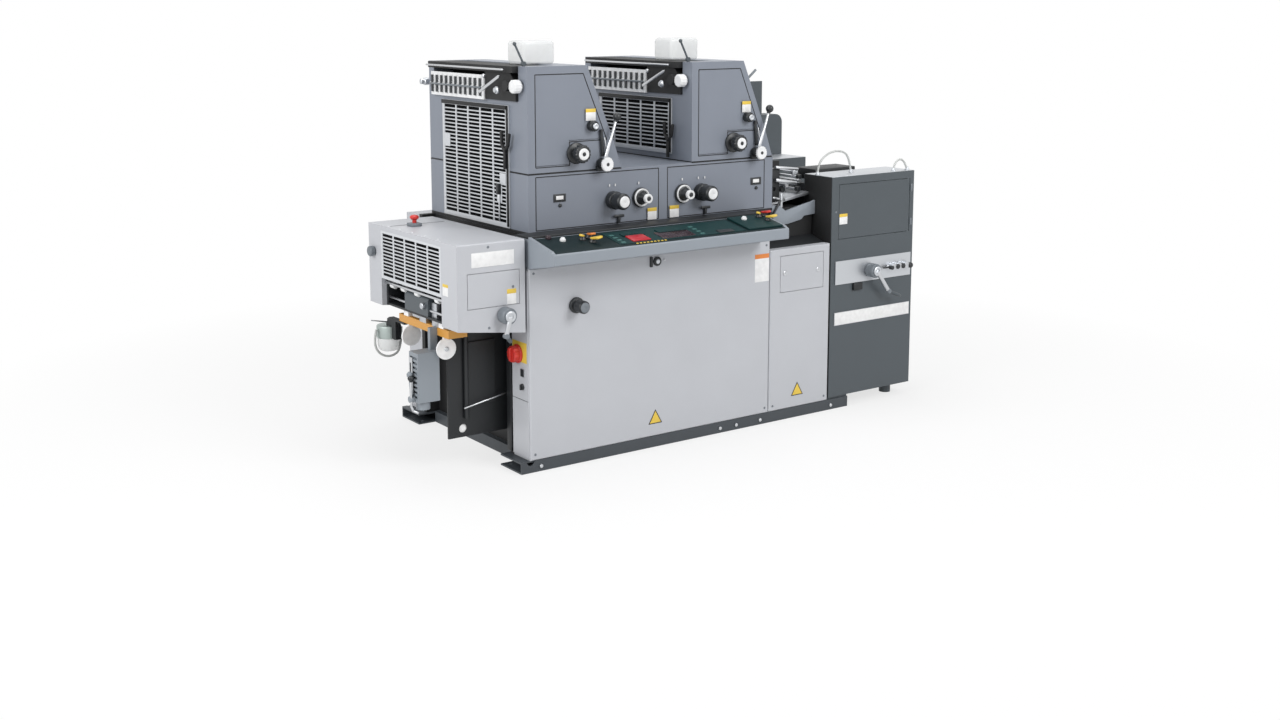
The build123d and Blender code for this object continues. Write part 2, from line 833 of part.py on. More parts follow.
# Delivery hood: a box open underneath and at its left end, beside the machine
hood_gap = 16
hood_length = 276
hood_depth = 700
hood_roof = 18
hood_far_wall = 103
hood_left_height = 308    # of the near side, at its left end
hood_right_height = 343
delivery_door_height = 128
delivery_door_rise = 74
delivery_door_margins = (40, 22)
hood_right = cover_left - hood_gap
hood_left = hood_right - hood_length
hood_back = operator_face + hood_depth
hood_inner_front = frame_front
hood_inner_back = hood_back - hood_far_wall
hood_low_left = hood_top - hood_left_height
hood_low_right = hood_top - hood_right_height
delivery_door_left = hood_left + delivery_door_margins[0]
delivery_door_right = hood_right - delivery_door_margins[1]
delivery_door_low = hood_low_left + delivery_door_rise
delivery_door_top = delivery_door_low + delivery_door_height
with BuildPart() as delivery_hood:
    with BuildSketch(from_front(operator_face)):
        with BuildLine():
            Polyline(
                (hood_left, hood_low_left),
                (hood_right, hood_low_right),
                (hood_right, hood_top),
                (hood_left, hood_top),
                close=True,
            )
        make_face()
    extrude(amount=-hood_depth)
    fillet(delivery_hood.edges().filter_by(Axis.X).group_by(Axis.Z)[-1].sort_by(Axis.Y)[0], edge_round)
    with BuildSketch(Plane.YZ.offset(hood_left)):
        block(hood_inner_front, hood_low_right - seam, hood_inner_back, hood_top - hood_roof)
    extrude(amount=hood_length, mode=Mode.SUBTRACT)
    with BuildSketch(from_front(operator_face)):
        block(delivery_door_left, delivery_door_low, delivery_door_right, delivery_door_top)
    extrude(amount=-inset_depth, mode=Mode.SUBTRACT)
finish(delivery_hood, "delivery_hood")

# Small doors set flush in the delivery hood and the side cover
with BuildPart() as inset_doors:
    with BuildSketch(from_front(operator_face)):
        block(
            delivery_door_left + seam,
            delivery_door_low + seam,
            delivery_door_right - seam,
            delivery_door_top - seam,
        )
        block(
            side_door_left + seam,
            side_door_bottom + seam,
            side_door_right - seam,
            side_door_top - seam,
        )
    extrude(amount=-inset_depth)
finish(inset_doors, "inset_doors")

# Slotted guard in the end of the hood
grille_drop = 202         # from the top of the hood to the foot of its grille
grille_slot_width = 82
grille_slot_height = 7
grille_slot_pitch = 13
grille_frame = 10
grille_low = hood_top - grille_drop
grille_high = hood_top - hood_roof
grille_rows = int((grille_high - grille_low - 2 * grille_frame) // grille_slot_pitch)
grille_pitch = (hood_inner_back - hood_inner_front - 2 * grille_frame) / slot_columns
with BuildPart() as delivery_guard:
    with BuildSketch(Plane.YZ.offset(hood_left + inset_depth)):
        block(hood_inner_front, grille_low, hood_inner_back, grille_high)
        with Locations(((hood_inner_front + hood_inner_back) / 2, (grille_low + grille_high) / 2)):
            with GridLocations(grille_pitch, grille_slot_pitch, slot_columns, grille_rows):
                Rectangle(grille_slot_width, grille_slot_height, mode=Mode.SUBTRACT)
    extrude(amount=-inset_depth)
finish(delivery_guard, "delivery_guard")

# Delivery frame: the arms that carry the hood, its under tray, and the plate under it
arm_thickness = 12
arm_height = 70
tray_rise = 36            # of the tray over the lowest edge of the hood
tray_thickness = 8
tray_end_margin = 20
plate_setback = 73        # of the plate behind the front side frame's face
plate_thickness = 8
plate_reach = 235
plate_low = 122
tie_height = 71
tie_hole_radius = 17
tie_hole_margin = 61
tie_hole_height = 154
panel_left_margin = 77
panel_length = 118
panel_low = 239
panel_height = 238
rail_tube_radius = 9
rail_tube_margin = 72
link_rod_radius = 5
link_rod_heights = (245, 270)
tray_low = hood_low_right + tray_rise
arm_high = tray_low + tray_thickness + arm_height
plate_front = frame_front + plate_setback
plate_left = cover_left - plate_reach
tube_x = plate_left + rail_tube_margin
with BuildPart() as delivery_frame:
    with BuildSketch(Plane.XY.offset(tray_low)):
        block(hood_left + tray_end_margin, hood_inner_front, cover_left, hood_inner_back)
        block(cover_left, frame_front + frame_thickness, core_left, hood_inner_back)
    extrude(amount=tray_thickness)
    for arm_front in (hood_inner_front, hood_inner_back - arm_thickness):
        with BuildSketch(from_front(arm_front)):
            block(hood_left + tray_end_margin, tray_low, cover_left, arm_high)
        extrude(amount=-arm_thickness)
    with BuildSketch(from_front(plate_front)):
        block(plate_left, plate_low, core_left, tray_low)
        disc(plate_left + tie_hole_margin, tie_hole_height, tie_hole_radius, mode=Mode.SUBTRACT)
    extrude(amount=-plate_thickness)
    with BuildSketch(from_front(plate_front)):
        block(
            plate_left + panel_left_margin,
            panel_low,
            plate_left + panel_left_margin + panel_length,
            panel_low + panel_height,
        )
    extrude(amount=plate_thickness)
    with BuildSketch(Plane.XY.offset(plate_low + tie_height)):
        with Locations((tube_x, plate_front - rail_tube_radius)):
            RegularPolygon(rail_tube_radius, 12)
    extrude(amount=tray_low - plate_low - tie_height)
finish(delivery_frame, "delivery_frame")

# Jogger bar hung from the tray on two blocks, with an arm to the side plate
bar_setback = 19          # of the bar's near end behind the front side frame's face
bar_length = 392
bar_width = 18
bar_height = 30
bar_drop = 25             # from the tray to the top of the bar
bar_x = plate_left - bar_width - 3
bar_arm_reach = 76
hanger_length = 36
hanger_margin = 40
bar_front = frame_front + bar_setback
bar_high = tray_low - bar_drop
bar_low = bar_high - bar_height
with BuildPart() as jogger_bar:
    with BuildSketch(Plane.XY.offset(bar_low)):
        block(bar_x, bar_front, bar_x + bar_width, bar_front + bar_length)
        block(bar_x, bar_front, bar_x + bar_arm_reach, bar_front + bar_width / 2)
        block(
            bar_x + bar_arm_reach - bar_width / 2,
            bar_front,
            bar_x + bar_arm_reach,
            plate_front - seat,
        )
    extrude(amount=bar_height)
finish(jogger_bar, "jogger_bar")

# Jogger wheels on forked hangers under the bar
wheel_disc_radius = 39
wheel_disc_thickness = 8
wheel_drop = 58           # from the bar's middle to the wheels' axles
wheel_places = (34, 309)  # along the bar from its near end
fork_width = 16
with BuildPart() as jogger_wheels:
    with BuildSketch(Plane.XY.offset(bar_high)):
        for place in (hanger_margin, bar_length - hanger_margin - hanger_length):
            block(bar_x, bar_front + place, bar_x + bar_width, bar_front + place + hanger_length)
    extrude(amount=bar_drop)
    for place in wheel_places:
        disc_front = bar_front + place
        with BuildSketch(from_front(disc_front)):
            disc(bar_x + bar_width / 2, bar_low - wheel_drop + bar_height / 2, wheel_disc_radius)
        extrude(amount=-wheel_disc_thickness)
        with BuildSketch(from_front(disc_front + wheel_disc_thickness)):
            block(
                bar_x + (bar_width - fork_width) / 2,
                bar_low - wheel_drop,
                bar_x + (bar_width + fork_width) / 2,
                bar_low,
            )
        extrude(amount=-wheel_disc_thickness)
finish(jogger_wheels, "jogger_wheels")

# Lift gearbox on a bracket from the bar's near end, with its ball lever
gearbox_length = 87
gearbox_depth = 68
gearbox_height = 184
gearbox_low = 276
gearbox_fin_count = 9
gearbox_fin_height = 9
gearbox_fin_pitch = 18
gearbox_fin_depth = 8
gearbox_foot_radius = 26
gearbox_foot_length = 30
gearbox_setback = 71
gearbox_hub_rise = 12
gearbox_hub_radius = 12
gearbox_hub_length = 20
gearbox_lever_lean = 4
gearbox_lever_length = 92
gearbox_ball_radius = 11
gearbox_right = bar_x - 12
gearbox_left = gearbox_right - gearbox_length
gearbox_front = frame_front + gearbox_setback
gearbox_back = gearbox_front + gearbox_depth
gearbox_high = gearbox_low + gearbox_height
gearbox_y = (gearbox_front + gearbox_back) / 2
gearbox_z = (gearbox_low + gearbox_high) / 2
lever_lean = math.radians(gearbox_lever_lean)
with BuildPart() as lift_gearbox:
    with BuildSketch(from_front(gearbox_front)):
        block(gearbox_left, gearbox_low, gearbox_right, gearbox_high)
    extrude(amount=-gearbox_depth)
    with BuildSketch(Plane.YZ.offset(gearbox_left)):
        with Locations((gearbox_y, gearbox_z)):
            with GridLocations(1, gearbox_fin_pitch, 1, gearbox_fin_count):
                Rectangle(gearbox_depth - 2 * gearbox_fin_depth, gearbox_fin_height)
    extrude(amount=gearbox_fin_depth, mode=Mode.SUBTRACT)
    with BuildSketch(Plane.XY.offset(gearbox_low)):
        disc(gearbox_right - 2 * gearbox_foot_radius, gearbox_y, gearbox_foot_radius)
    extrude(amount=-gearbox_foot_length)
    with BuildSketch(from_front(gearbox_y)):
        block(gearbox_right, bar_low - 2 * bar_height, bar_x - seat, bar_high)
        block(gearbox_right - bar_width, gearbox_high, gearbox_right, bar_high)
    extrude(amount=-bar_width)
    with BuildSketch(Plane.YZ.offset(gearbox_left)):
        with Locations((gearbox_y, gearbox_low + gearbox_hub_rise)):
            RegularPolygon(gearbox_hub_radius, 12)
    extrude(amount=-gearbox_hub_length)
    lever_arm(
        (gearbox_left - gearbox_hub_length / 2, gearbox_y, gearbox_low + gearbox_hub_rise),
        (-math.sin(lever_lean), 0, math.cos(lever_lean)),
        throw_rod_radius,
        gearbox_lever_length,
        gearbox_ball_radius,
    )
finish(lift_gearbox, "lift_gearbox")

# Spray powder jar under a strap at the bar's far end, with its pump head
jar_radius = 45
jar_base_radius = 36
jar_height = 86
jar_low = 375
lid_thickness = 15
lid_radius = 48
jar_gap = 66              # from the bar's far end to the jar's middle
strap_width = 22
strap_thickness = 8
strap_lap = 44            # of the strap under the bar
pump_length = 32
pump_drop = 46            # of the pump head under the top of the lid
jar_x = bar_x + bar_width / 2
jar_y = bar_front + bar_length + jar_gap + jar_radius
jar_high = jar_low + jar_height
lid_high = jar_high + lid_thickness
with BuildPart() as spray_jar:
    with BuildSketch(Plane.XY.offset(jar_low)):
        disc(jar_x, jar_y, jar_radius)
    extrude(amount=jar_height)
    chamfer(spray_jar.faces().sort_by(Axis.Z)[0].edges(), jar_radius - jar_base_radius)
    with BuildSketch(Plane.XY.offset(jar_high)):
        disc(jar_x, jar_y, lid_radius)
    extrude(amount=lid_thickness)
finish(spray_jar, "spray_jar")

pump_front = jar_y - lid_radius - pump_length - seat
pump_back = pump_front + pump_length
pump_low = lid_high - pump_drop
strap_high = bar_low - seat
strap_low = strap_high - strap_thickness
strap_start = bar_front + bar_length - strap_lap
with BuildPart() as pump_head:
    with BuildSketch(Plane.YZ.offset(jar_x - strap_width / 2)):
        with BuildLine():
            Polyline(
                (strap_start, strap_low),
                (pump_front, strap_low),
                (pump_front, pump_low),
                (pump_back, pump_low),
                (pump_back, lid_high + seat),
                (jar_y, lid_high + seat),
                (jar_y, lid_high + strap_thickness),
                (jar_y - strap_width, strap_high),
                (strap_start, strap_high),
                close=True,
            )
        make_face()
    extrude(amount=strap_width)
finish(pump_head, "pump_head")

# Rounded cover of the sheet brake, standing on the tray in the hood's open end
brake_setback = 145       # from the front side frame's face
brake_length = 184
brake_width = 70
brake_height = 79
brake_corner = 20
brake_left = hood_left + tray_end_margin
with BuildPart() as brake_cover:
    with BuildSketch(from_front(frame_front + brake_setback)):
        block(brake_left, tray_low + tray_thickness, brake_left + brake_width, tray_low + brake_height)
    extrude(amount=-brake_length)
    fillet(brake_cover.edges().filter_by(Axis.Y).group_by(Axis.Z)[-1], brake_corner)
finish(brake_cover, "brake_cover")

# Stop button on the hood
stop_base = 62
stop_base_height = 14
stop_cap_radius = 21
stop_cap_height = 31
stop_x = hood_left + 98
stop_y = hood_back - 194
with BuildPart() as stop_button:
    with BuildSketch(Plane.XY.offset(hood_top)):
        with Locations((stop_x, stop_y)):
            Rectangle(stop_base, stop_base)
    extrude(amount=stop_base_height)
    with BuildSketch(Plane.XY.offset(hood_top + stop_base_height)):
        disc(stop_x, stop_y, stop_cap_radius)
    extrude(amount=stop_cap_height)
finish(stop_button, "stop_button")


def crank(x, z, face, side, drop):
    """A hand crank in the current part: hub, slanting arm and handle."""
    arm_reach = math.hypot(side, drop)
    along = (side / arm_reach, -drop / arm_reach)
    across = (drop / arm_reach * arm_half, side / arm_reach * arm_half)
    with BuildSketch(from_front(face)) as hub:
        disc(x, z, crank_hub_radius)
    extrude(hub.sketch, amount=crank_hub_length)
    with BuildSketch(from_front(face - crank_hub_length + arm_stock)) as arm:
        with BuildLine():
            Polyline(
                (x - across[0], z - across[1]),
                (x + side - across[0], z - drop - across[1]),
                (x + side + along[0] * arm_half, z - drop + along[1] * arm_half),
                (x + side + across[0], z - drop + across[1]),
                (x + across[0], z + across[1]),
                close=True,
            )
        make_face()
    extrude(arm.sketch, amount=arm_stock)
    with BuildSketch(from_front(face - crank_hub_length)) as handle:
        grip(x + side, z - drop, crank_grip_radius)
    extrude(handle.sketch, amount=crank_grip_length)


crank_hub_radius = 21
crank_hub_length = 38
arm_half = 10
arm_stock = 10
crank_grip_radius = 11
crank_grip_length = 60
delivery_crank_x = hood_left + 187
delivery_crank_z = hood_low_left + 42
with BuildPart() as delivery_crank:
    crank(delivery_crank_x, delivery_crank_z, operator_face - seat, -12, 78)
finish(delivery_crank, "delivery_crank")

# Feeder: two cabinets on the ends of the rails, with levelling feet under their far ends
feeder_height = 992
feeder_clear = 53         # under the cabinets
cabinet_depth = 173
cabinet_opening = 527     # between the two cabinets
foot_radius = 25
foot_margin = 60
feeder_door_margin = (40, 23)
feeder_door_drop = 32
feeder_door_height = 232
feeder_door_thickness = 15
feeder_door_pocket = 20
rear_cabinet_face = operator_face + cabinet_depth + cabinet_opening
feeder_door_left = feeder_left + feeder_door_margin[0]
feeder_door_right = feeder_right - feeder_door_margin[1]
feeder_door_top = feeder_height - feeder_door_drop
feeder_door_bottom = feeder_door_top - feeder_door_height
hinge_radius = 5
hinge_x = feeder_door_right - swing_gap
for cabinet_name, cabinet_face in (
    ("feeder_cabinet_front", operator_face),
    ("feeder_cabinet_rear", rear_cabinet_face),
):
    pad_front = max(cabinet_face, operator_face + edge_round)
    pad_back = min(cabinet_face + cabinet_depth, drive_back)
    with BuildPart() as cabinet:
        with BuildSketch(from_front(cabinet_face)):
            block(feeder_left, feeder_clear, feeder_right, feeder_height)
        extrude(amount=-cabinet_depth)
        with BuildSketch(Plane.XY.offset(rail_height)):
            block(feeder_left, pad_front, rail_right, pad_back)
        extrude(amount=feeder_clear - rail_height)
        with BuildSketch(Plane.XY):
            with Locations((feeder_right - foot_margin, cabinet_face + cabinet_depth / 2)):
                Circle(foot_radius)
        extrude(amount=feeder_clear)
        if cabinet_face == operator_face:
            with BuildSketch(from_front(cabinet_face)):
                block(feeder_door_left, feeder_door_bottom, feeder_door_right, feeder_door_top)
            extrude(amount=-feeder_door_pocket, mode=Mode.SUBTRACT)
    finish(cabinet, cabinet_name)

with BuildPart() as feeder_door:
    with BuildSketch(from_front(operator_face)):
        block(
            feeder_door_left + seam,
            feeder_door_bottom + seam,
            feeder_door_right - 2 * swing_gap,
            feeder_door_top - seam,
        )
    extrude(amount=-feeder_door_thickness)
    with BuildSketch(Plane.XY.offset(feeder_door_bottom + seat)):
        with Locations((hinge_x, operator_face + hinge_radius)):
            Circle(hinge_radius)
        block(feeder_door_right - 3 * swing_gap, operator_face, hinge_x, operator_face + hinge_radius)
    extrude(amount=feeder_door_height - 2 * seat)
finish(feeder_door, "feeder_door")

# Plates across the front of the feeder: the control strip with its knobs, and a long blank plate
strip_margins = (23, 14)
strip_drop = 356
strip_height = 100
strip_thickness = 5
strip_knob_radius = 14
strip_knob_length = 26
strip_knob_places = (322, 352, 396)
blank_drop = 576
blank_height = 55
blank_thickness = 3
strip_left = feeder_left + strip_margins[0]
strip_right = feeder_right - strip_margins[1]
strip_top = feeder_height - strip_drop
strip_bottom = strip_top - strip_height
blank_top = feeder_height - blank_drop
with BuildPart() as feeder_strip:
    with BuildSketch(from_front(operator_face)):
        block(strip_left, strip_bottom, strip_right, strip_top)
    extrude(amount=strip_thickness)
    with BuildSketch(from_front(operator_face - strip_thickness)):
        for place in strip_knob_places:
            grip(strip_left + place, strip_bottom + strip_height / 2, strip_knob_radius)
    extrude(amount=strip_knob_length)
    with BuildSketch(from_front(operator_face)):
        block(strip_left, blank_top - blank_height, strip_right, blank_top)
    extrude(amount=blank_thickness)
finish(feeder_strip, "feeder_strip")

feeder_crank_x = strip_left + 198
feeder_crank_z = strip_bottom + 46
with BuildPart() as feeder_crank:
    crank(feeder_crank_x, feeder_crank_z, operator_face - strip_thickness - seat, 75, 94)
finish(feeder_crank, "feeder_crank")

# Pile board between the cabinets, and the head plate that the paper stands against
pile_height = 320
board_thickness = 25
board_margin = 40
head_thickness = 20
head_low = 113
head_drop = 40
cabinet_back = operator_face + cabinet_depth
with BuildPart() as pile_board:
    with BuildSketch(Plane.XY.offset(pile_height)):
        block(
            feeder_left + board_margin,
            cabinet_back + seat,
            feeder_right - board_margin / 2,
            rear_cabinet_face - seat,
        )
    extrude(amount=board_thickness)
finish(pile_board, "feeder_pile_board")

with BuildPart() as feeder_head_plate:
    with BuildSketch(Plane.YZ.offset(feeder_left)):
        block(cabinet_back, head_low, rear_cabinet_face, feeder_height - head_drop)
    extrude(amount=head_thickness)
finish(feeder_head_plate, "feeder_head_plate")

# Feedboard: two cast side plates between the last unit and the feeder, with the sheet table
# and the feed rollers across them
side_plate_thickness = 16
board_front = frame_front + 9
board_back = frame_back - 203
board_low = unit_bottom + 10
board_step = 70
board_rise = 150
table_thickness = 14
table_drop = 46
table_climb = 52
board_left = unit_right
board_right = feeder_left
table_left_z = unit_top - table_drop - 2 * board_step
with BuildPart() as feedboard:
    for plate_y in (board_front, board_back - side_plate_thickness):
        with BuildSketch(from_front(plate_y)):
            with BuildLine():
                Polyline(
                    (board_left, board_low),
                    (board_right - board_step, board_low),
                    (board_right, board_low + board_step),
                    (board_right, board_low + board_rise),
                    (board_left + board_step, board_low + board_rise),
                    (board_left, board_low + board_rise / 2),
                    close=True,
                )
            make_face()
        extrude(amount=-side_plate_thickness)
    with BuildSketch(from_front(board_front)):
        with BuildLine():
            Polyline(
                (board_left, table_left_z),
                (board_right, table_left_z + table_climb),
                (board_right, table_left_z + table_climb + table_thickness),
                (board_left, table_left_z + table_thickness),
                close=True,
            )
        make_face()
    extrude(amount=-(board_back - board_front))
finish(feedboard, "feedboard")

# Feed rollers and tie rods above the table
rod_radius = 9
rod_count = 3
rod_pitch = 70
rod_rise = 28
with BuildPart() as feedboard_rollers:
    for step in range(rod_count):
        rod_x = board_left + rod_pitch * (step + 0.8)
        rod_z = table_left_z + table_thickness + rod_rise + step * 12
        with BuildSketch(from_front(board_front + side_plate_thickness)):
            with Locations((rod_x, rod_z)):
                RegularPolygon(rod_radius, 14)
        extrude(amount=-(board_back - board_front - 2 * side_plate_thickness))
finish(feedboard_rollers, "feedboard_rollers")

# Drive covers along the rear side frame, and the electrical box behind the feeder
drive_cover_drop = 5
box_length = 190
box_height = 585
column_inset = 30         # the narrow column on the box, from its left side
column_width = 67
column_rise = 157
box_depth = 90
box_corner = 40
box_rise = 193
with BuildPart() as drive_cover:
    with BuildSketch(from_front(frame_back)):
        block(cover_left, rail_height, side_cover_right, unit_bottom - drive_cover_drop)
    extrude(amount=-drive_depth)
    fillet(drive_cover.faces().sort_by(Axis.Y)[-1].edges(), edge_round)
finish(drive_cover, "drive_cover")

box_top = feeder_height + box_rise
column_y = rear_cabinet_face + cabinet_depth + box_depth / 2
with BuildPart() as control_box:
    with BuildSketch(from_front(rear_cabinet_face + cabinet_depth)):
        block(feeder_right - box_length, box_top - box_height, feeder_right, box_top)
    extrude(amount=-box_depth)
    fillet(control_box.edges().filter_by(Axis.Y).group_by(Axis.Z)[-1], box_corner)
    with BuildSketch(Plane.XY.offset(box_top - box_corner)):
        with Locations((feeder_right - box_length + column_inset + column_width / 2, column_y)):
            Rectangle(column_width, box_depth - 2 * box_corner)
    extrude(amount=column_rise + box_corner)
finish(control_box, "control_box")


hose_flat_count = 6


def tube(points, radius, turns):
    """A round hose through these points, with an arc of the given radius at each corner."""
    with BuildLine() as route:
        FilletPolyline(*points, radius=turns)
    path = route.wires()[0]
    with BuildSketch(Plane(origin=path @ 0, z_dir=path % 0)) as section:
        RegularPolygon(radius, hose_flat_count)
    sweep(section.sketch, path=path)


# Air hoses arching over the feeder
hose_radius = 4.5
left_hose_turn = 44
left_hose_y = operator_face + 100
left_hose_points = (
    (feeder_left + 8, left_hose_y, feeder_height + 0.3),
    (feeder_left + 8, left_hose_y, feeder_height + 46),
    (feeder_left + 62, left_hose_y, feeder_height + 92),
    (feeder_left + 142, left_hose_y, feeder_height + 98),
    (feeder_left + 188, left_hose_y, feeder_height + 68),
    (feeder_left + 199, left_hose_y, feeder_height + 1.1),
)
with BuildPart() as feeder_hose_left:
    tube(left_hose_points, hose_radius, left_hose_turn)
finish(feeder_hose_left, "feeder_hose_left")

right_hose_turn = 28
right_hose_y = operator_face + 30
right_hose_points = (
    (feeder_right - 97, right_hose_y, feeder_height + 1),
    (feeder_right - 94, right_hose_y, feeder_height + 30),
    (feeder_right - 62, right_hose_y, feeder_height + 52),
    (feeder_right - 30, right_hose_y, feeder_height + 38),
    (feeder_right - 14, right_hose_y, feeder_height + 2.2),
)
with BuildPart() as feeder_hose_right:
    tube(right_hose_points, hose_radius, right_hose_turn)
finish(feeder_hose_right, "feeder_hose_right")

# Hose looped under the spray jar, from one side of its lid to the other
jar_hose_turn = 42
jar_hose_points = (
    (jar_x - 53.3, jar_y, jar_low + 87),
    (jar_x - 66, jar_y, jar_low + 35),
    (jar_x - 42, jar_y, jar_low - 13),
    (jar_x + 8, jar_y, jar_low - 29),
    (jar_x + 52, jar_y, jar_low - 3),
    (jar_x + 53.3, jar_y, jar_low + 87),
)
with BuildPart() as jar_hose:
    tube(jar_hose_points, hose_radius, jar_hose_turn)
finish(jar_hose, "jar_hose")
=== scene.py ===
# %% [markdown]
# # A two-colour offset press
# The press takes sheets from the feeder on the right, prints them in two units under the
# inking towers, and stacks them in the delivery on the left. The solids come from CAD. This
# lesson gives them their paints and plastics, and adds the small parts that the eye looks for:
# knobs, switches, screws, plates, bottles and hoses.

# %% Load the frame
import bpy
import json
import math
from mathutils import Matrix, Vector

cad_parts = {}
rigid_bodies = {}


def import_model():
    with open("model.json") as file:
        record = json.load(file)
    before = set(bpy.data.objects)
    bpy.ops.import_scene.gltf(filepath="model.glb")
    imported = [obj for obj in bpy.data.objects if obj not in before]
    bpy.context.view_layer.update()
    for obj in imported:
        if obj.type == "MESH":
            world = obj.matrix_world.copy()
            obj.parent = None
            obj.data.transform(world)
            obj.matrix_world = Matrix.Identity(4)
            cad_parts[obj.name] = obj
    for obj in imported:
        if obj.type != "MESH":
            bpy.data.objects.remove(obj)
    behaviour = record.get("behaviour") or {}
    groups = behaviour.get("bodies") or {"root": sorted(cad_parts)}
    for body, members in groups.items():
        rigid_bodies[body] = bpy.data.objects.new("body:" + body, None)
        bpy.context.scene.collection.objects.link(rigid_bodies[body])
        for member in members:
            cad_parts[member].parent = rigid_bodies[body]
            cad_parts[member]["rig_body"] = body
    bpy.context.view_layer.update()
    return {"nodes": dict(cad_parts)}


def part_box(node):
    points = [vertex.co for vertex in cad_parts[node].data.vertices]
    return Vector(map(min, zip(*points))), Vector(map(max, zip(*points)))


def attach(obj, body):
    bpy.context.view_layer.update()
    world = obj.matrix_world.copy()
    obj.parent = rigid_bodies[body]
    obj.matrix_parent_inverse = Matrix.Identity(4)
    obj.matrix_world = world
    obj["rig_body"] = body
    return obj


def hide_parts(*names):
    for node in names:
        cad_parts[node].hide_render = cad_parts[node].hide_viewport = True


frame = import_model()

# %% [markdown]
# Places are measured as on a drawing of the machine: in millimetres from the left end of the
# front cover, from its face, and from the floor. One helper turns them into Blender's metres.

# %% Measure from the front cover
cover_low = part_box("front_cover")[0]
MM = 0.001


def spot(x, y, z):
    """A point in metres, from mm right of the cover's left end, behind its face, and above the floor."""
    return Vector((cover_low[0] + x * MM, cover_low[1] + y * MM, z * MM))


def box_mm(node):
    """A node's two corners, in mm as on the drawing."""
    origin = (cover_low[0], cover_low[1], 0)
    return [tuple((c - o) / MM for c, o in zip(corner, origin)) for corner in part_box(node)]


print("front cover starts at", round(cover_low[0], 3), round(cover_low[1], 3))

# %% [markdown]
# The camera stands at the machine's left front, a little above the console, with a normal
# lens. A small shift puts the machine in the upper half of the picture.

# %% Camera
CAMERA_PLACE = (-3.5248, -4.8885, 1.7006)
CAMERA_YAW = 35.642       # degrees from +Y towards +X
CAMERA_PITCH = 8.73       # degrees below the horizon
PICTURE_WIDTH = 1280
FOCAL_PIXELS = 1480.2

camera_data = bpy.data.cameras.new("camera")
camera_data.sensor_width = 36
camera_data.lens = FOCAL_PIXELS / PICTURE_WIDTH * camera_data.sensor_width
camera_data.shift_y = -0.10
camera = bpy.data.objects.new("camera", camera_data)
camera.location = CAMERA_PLACE
camera.rotation_euler = (math.radians(90 - CAMERA_PITCH), 0, -math.radians(CAMERA_YAW))
bpy.context.scene.collection.objects.link(camera)
bpy.context.scene.camera = camera
bpy.context.scene.view_settings.view_transform = "Standard"
print("lens", round(camera_data.lens, 2), "mm")

# %% [markdown]
# Colours are written as the hex values a painter would match on a screen. Blender wants them
# linear, so one function converts them. Another adds a node with its settings and its links.

# %% Colour and node helpers


def colour(hex_value, alpha=1.0):
    """Linear colour from an sRGB hex string."""
    channels = [int(hex_value[i:i + 2], 16) / 255 for i in (1, 3, 5)]
    linear = [c / 12.92 if c <= 0.04045 else ((c + 0.055) / 1.055) ** 2.4 for c in channels]
    return (*linear, alpha)


def add(tree, kind, settings=None, links=None):
    """Adds one node: settings go to its options or its sockets, links come from other sockets."""
    node = tree.nodes.new(kind)
    for key, value in (settings or {}).items():
        if isinstance(key, str) and hasattr(node, key):
            setattr(node, key, value)
        else:
            node.inputs[key].default_value = value
    for key, source in (links or {}).items():
        tree.links.new(source, node.inputs[key])
    return node


def new_material(name):
    """An empty material with its tree and its surface shader."""
    material = bpy.data.materials.new(name)
    material.use_nodes = True
    tree = material.node_tree
    return material, tree, tree.nodes["Principled BSDF"]


def noise(tree, place, scale, detail):
    """The value of a noise texture over a place."""
    texture = add(tree, "ShaderNodeTexNoise", {"Scale": scale, "Detail": detail}, {"Vector": place})
    return texture.outputs["Fac"]


def ranged(tree, value, low, high, start=0.0, end=1.0):
    """A value carried from between start and end to between low and high."""
    settings = {"From Min": start, "From Max": end, "To Min": low, "To Max": high}
    return add(tree, "ShaderNodeMapRange", settings, {"Value": value}).outputs["Result"]


def wire(tree, shader, links):
    """Links outputs to the named inputs of a shader."""
    for key, source in links.items():
        tree.links.new(source, shader.inputs[key])


print("middle grey is linear", round(colour("#808080")[0], 3))


# %% [markdown]
# The sheet metal is stove enamel over pressed steel. Sprayed enamel is never quite flat: it
# has a fine orange peel, about 2 mm from bump to bump, and a gloss that varies where it was
# wiped. Pressed edges are rounded, which the Bevel node shows without more faces, and the
# edges are painted a touch paler, as a painted highlight where the rounding catches light.

# %% Enamel finishes
PEEL_SIZE = 2.0           # mm between the bumps of the orange peel
WIPE_SIZE = 160.0         # mm across a wiped patch
EDGE_ROUND = 1.6          # mm, the radius of a pressed edge


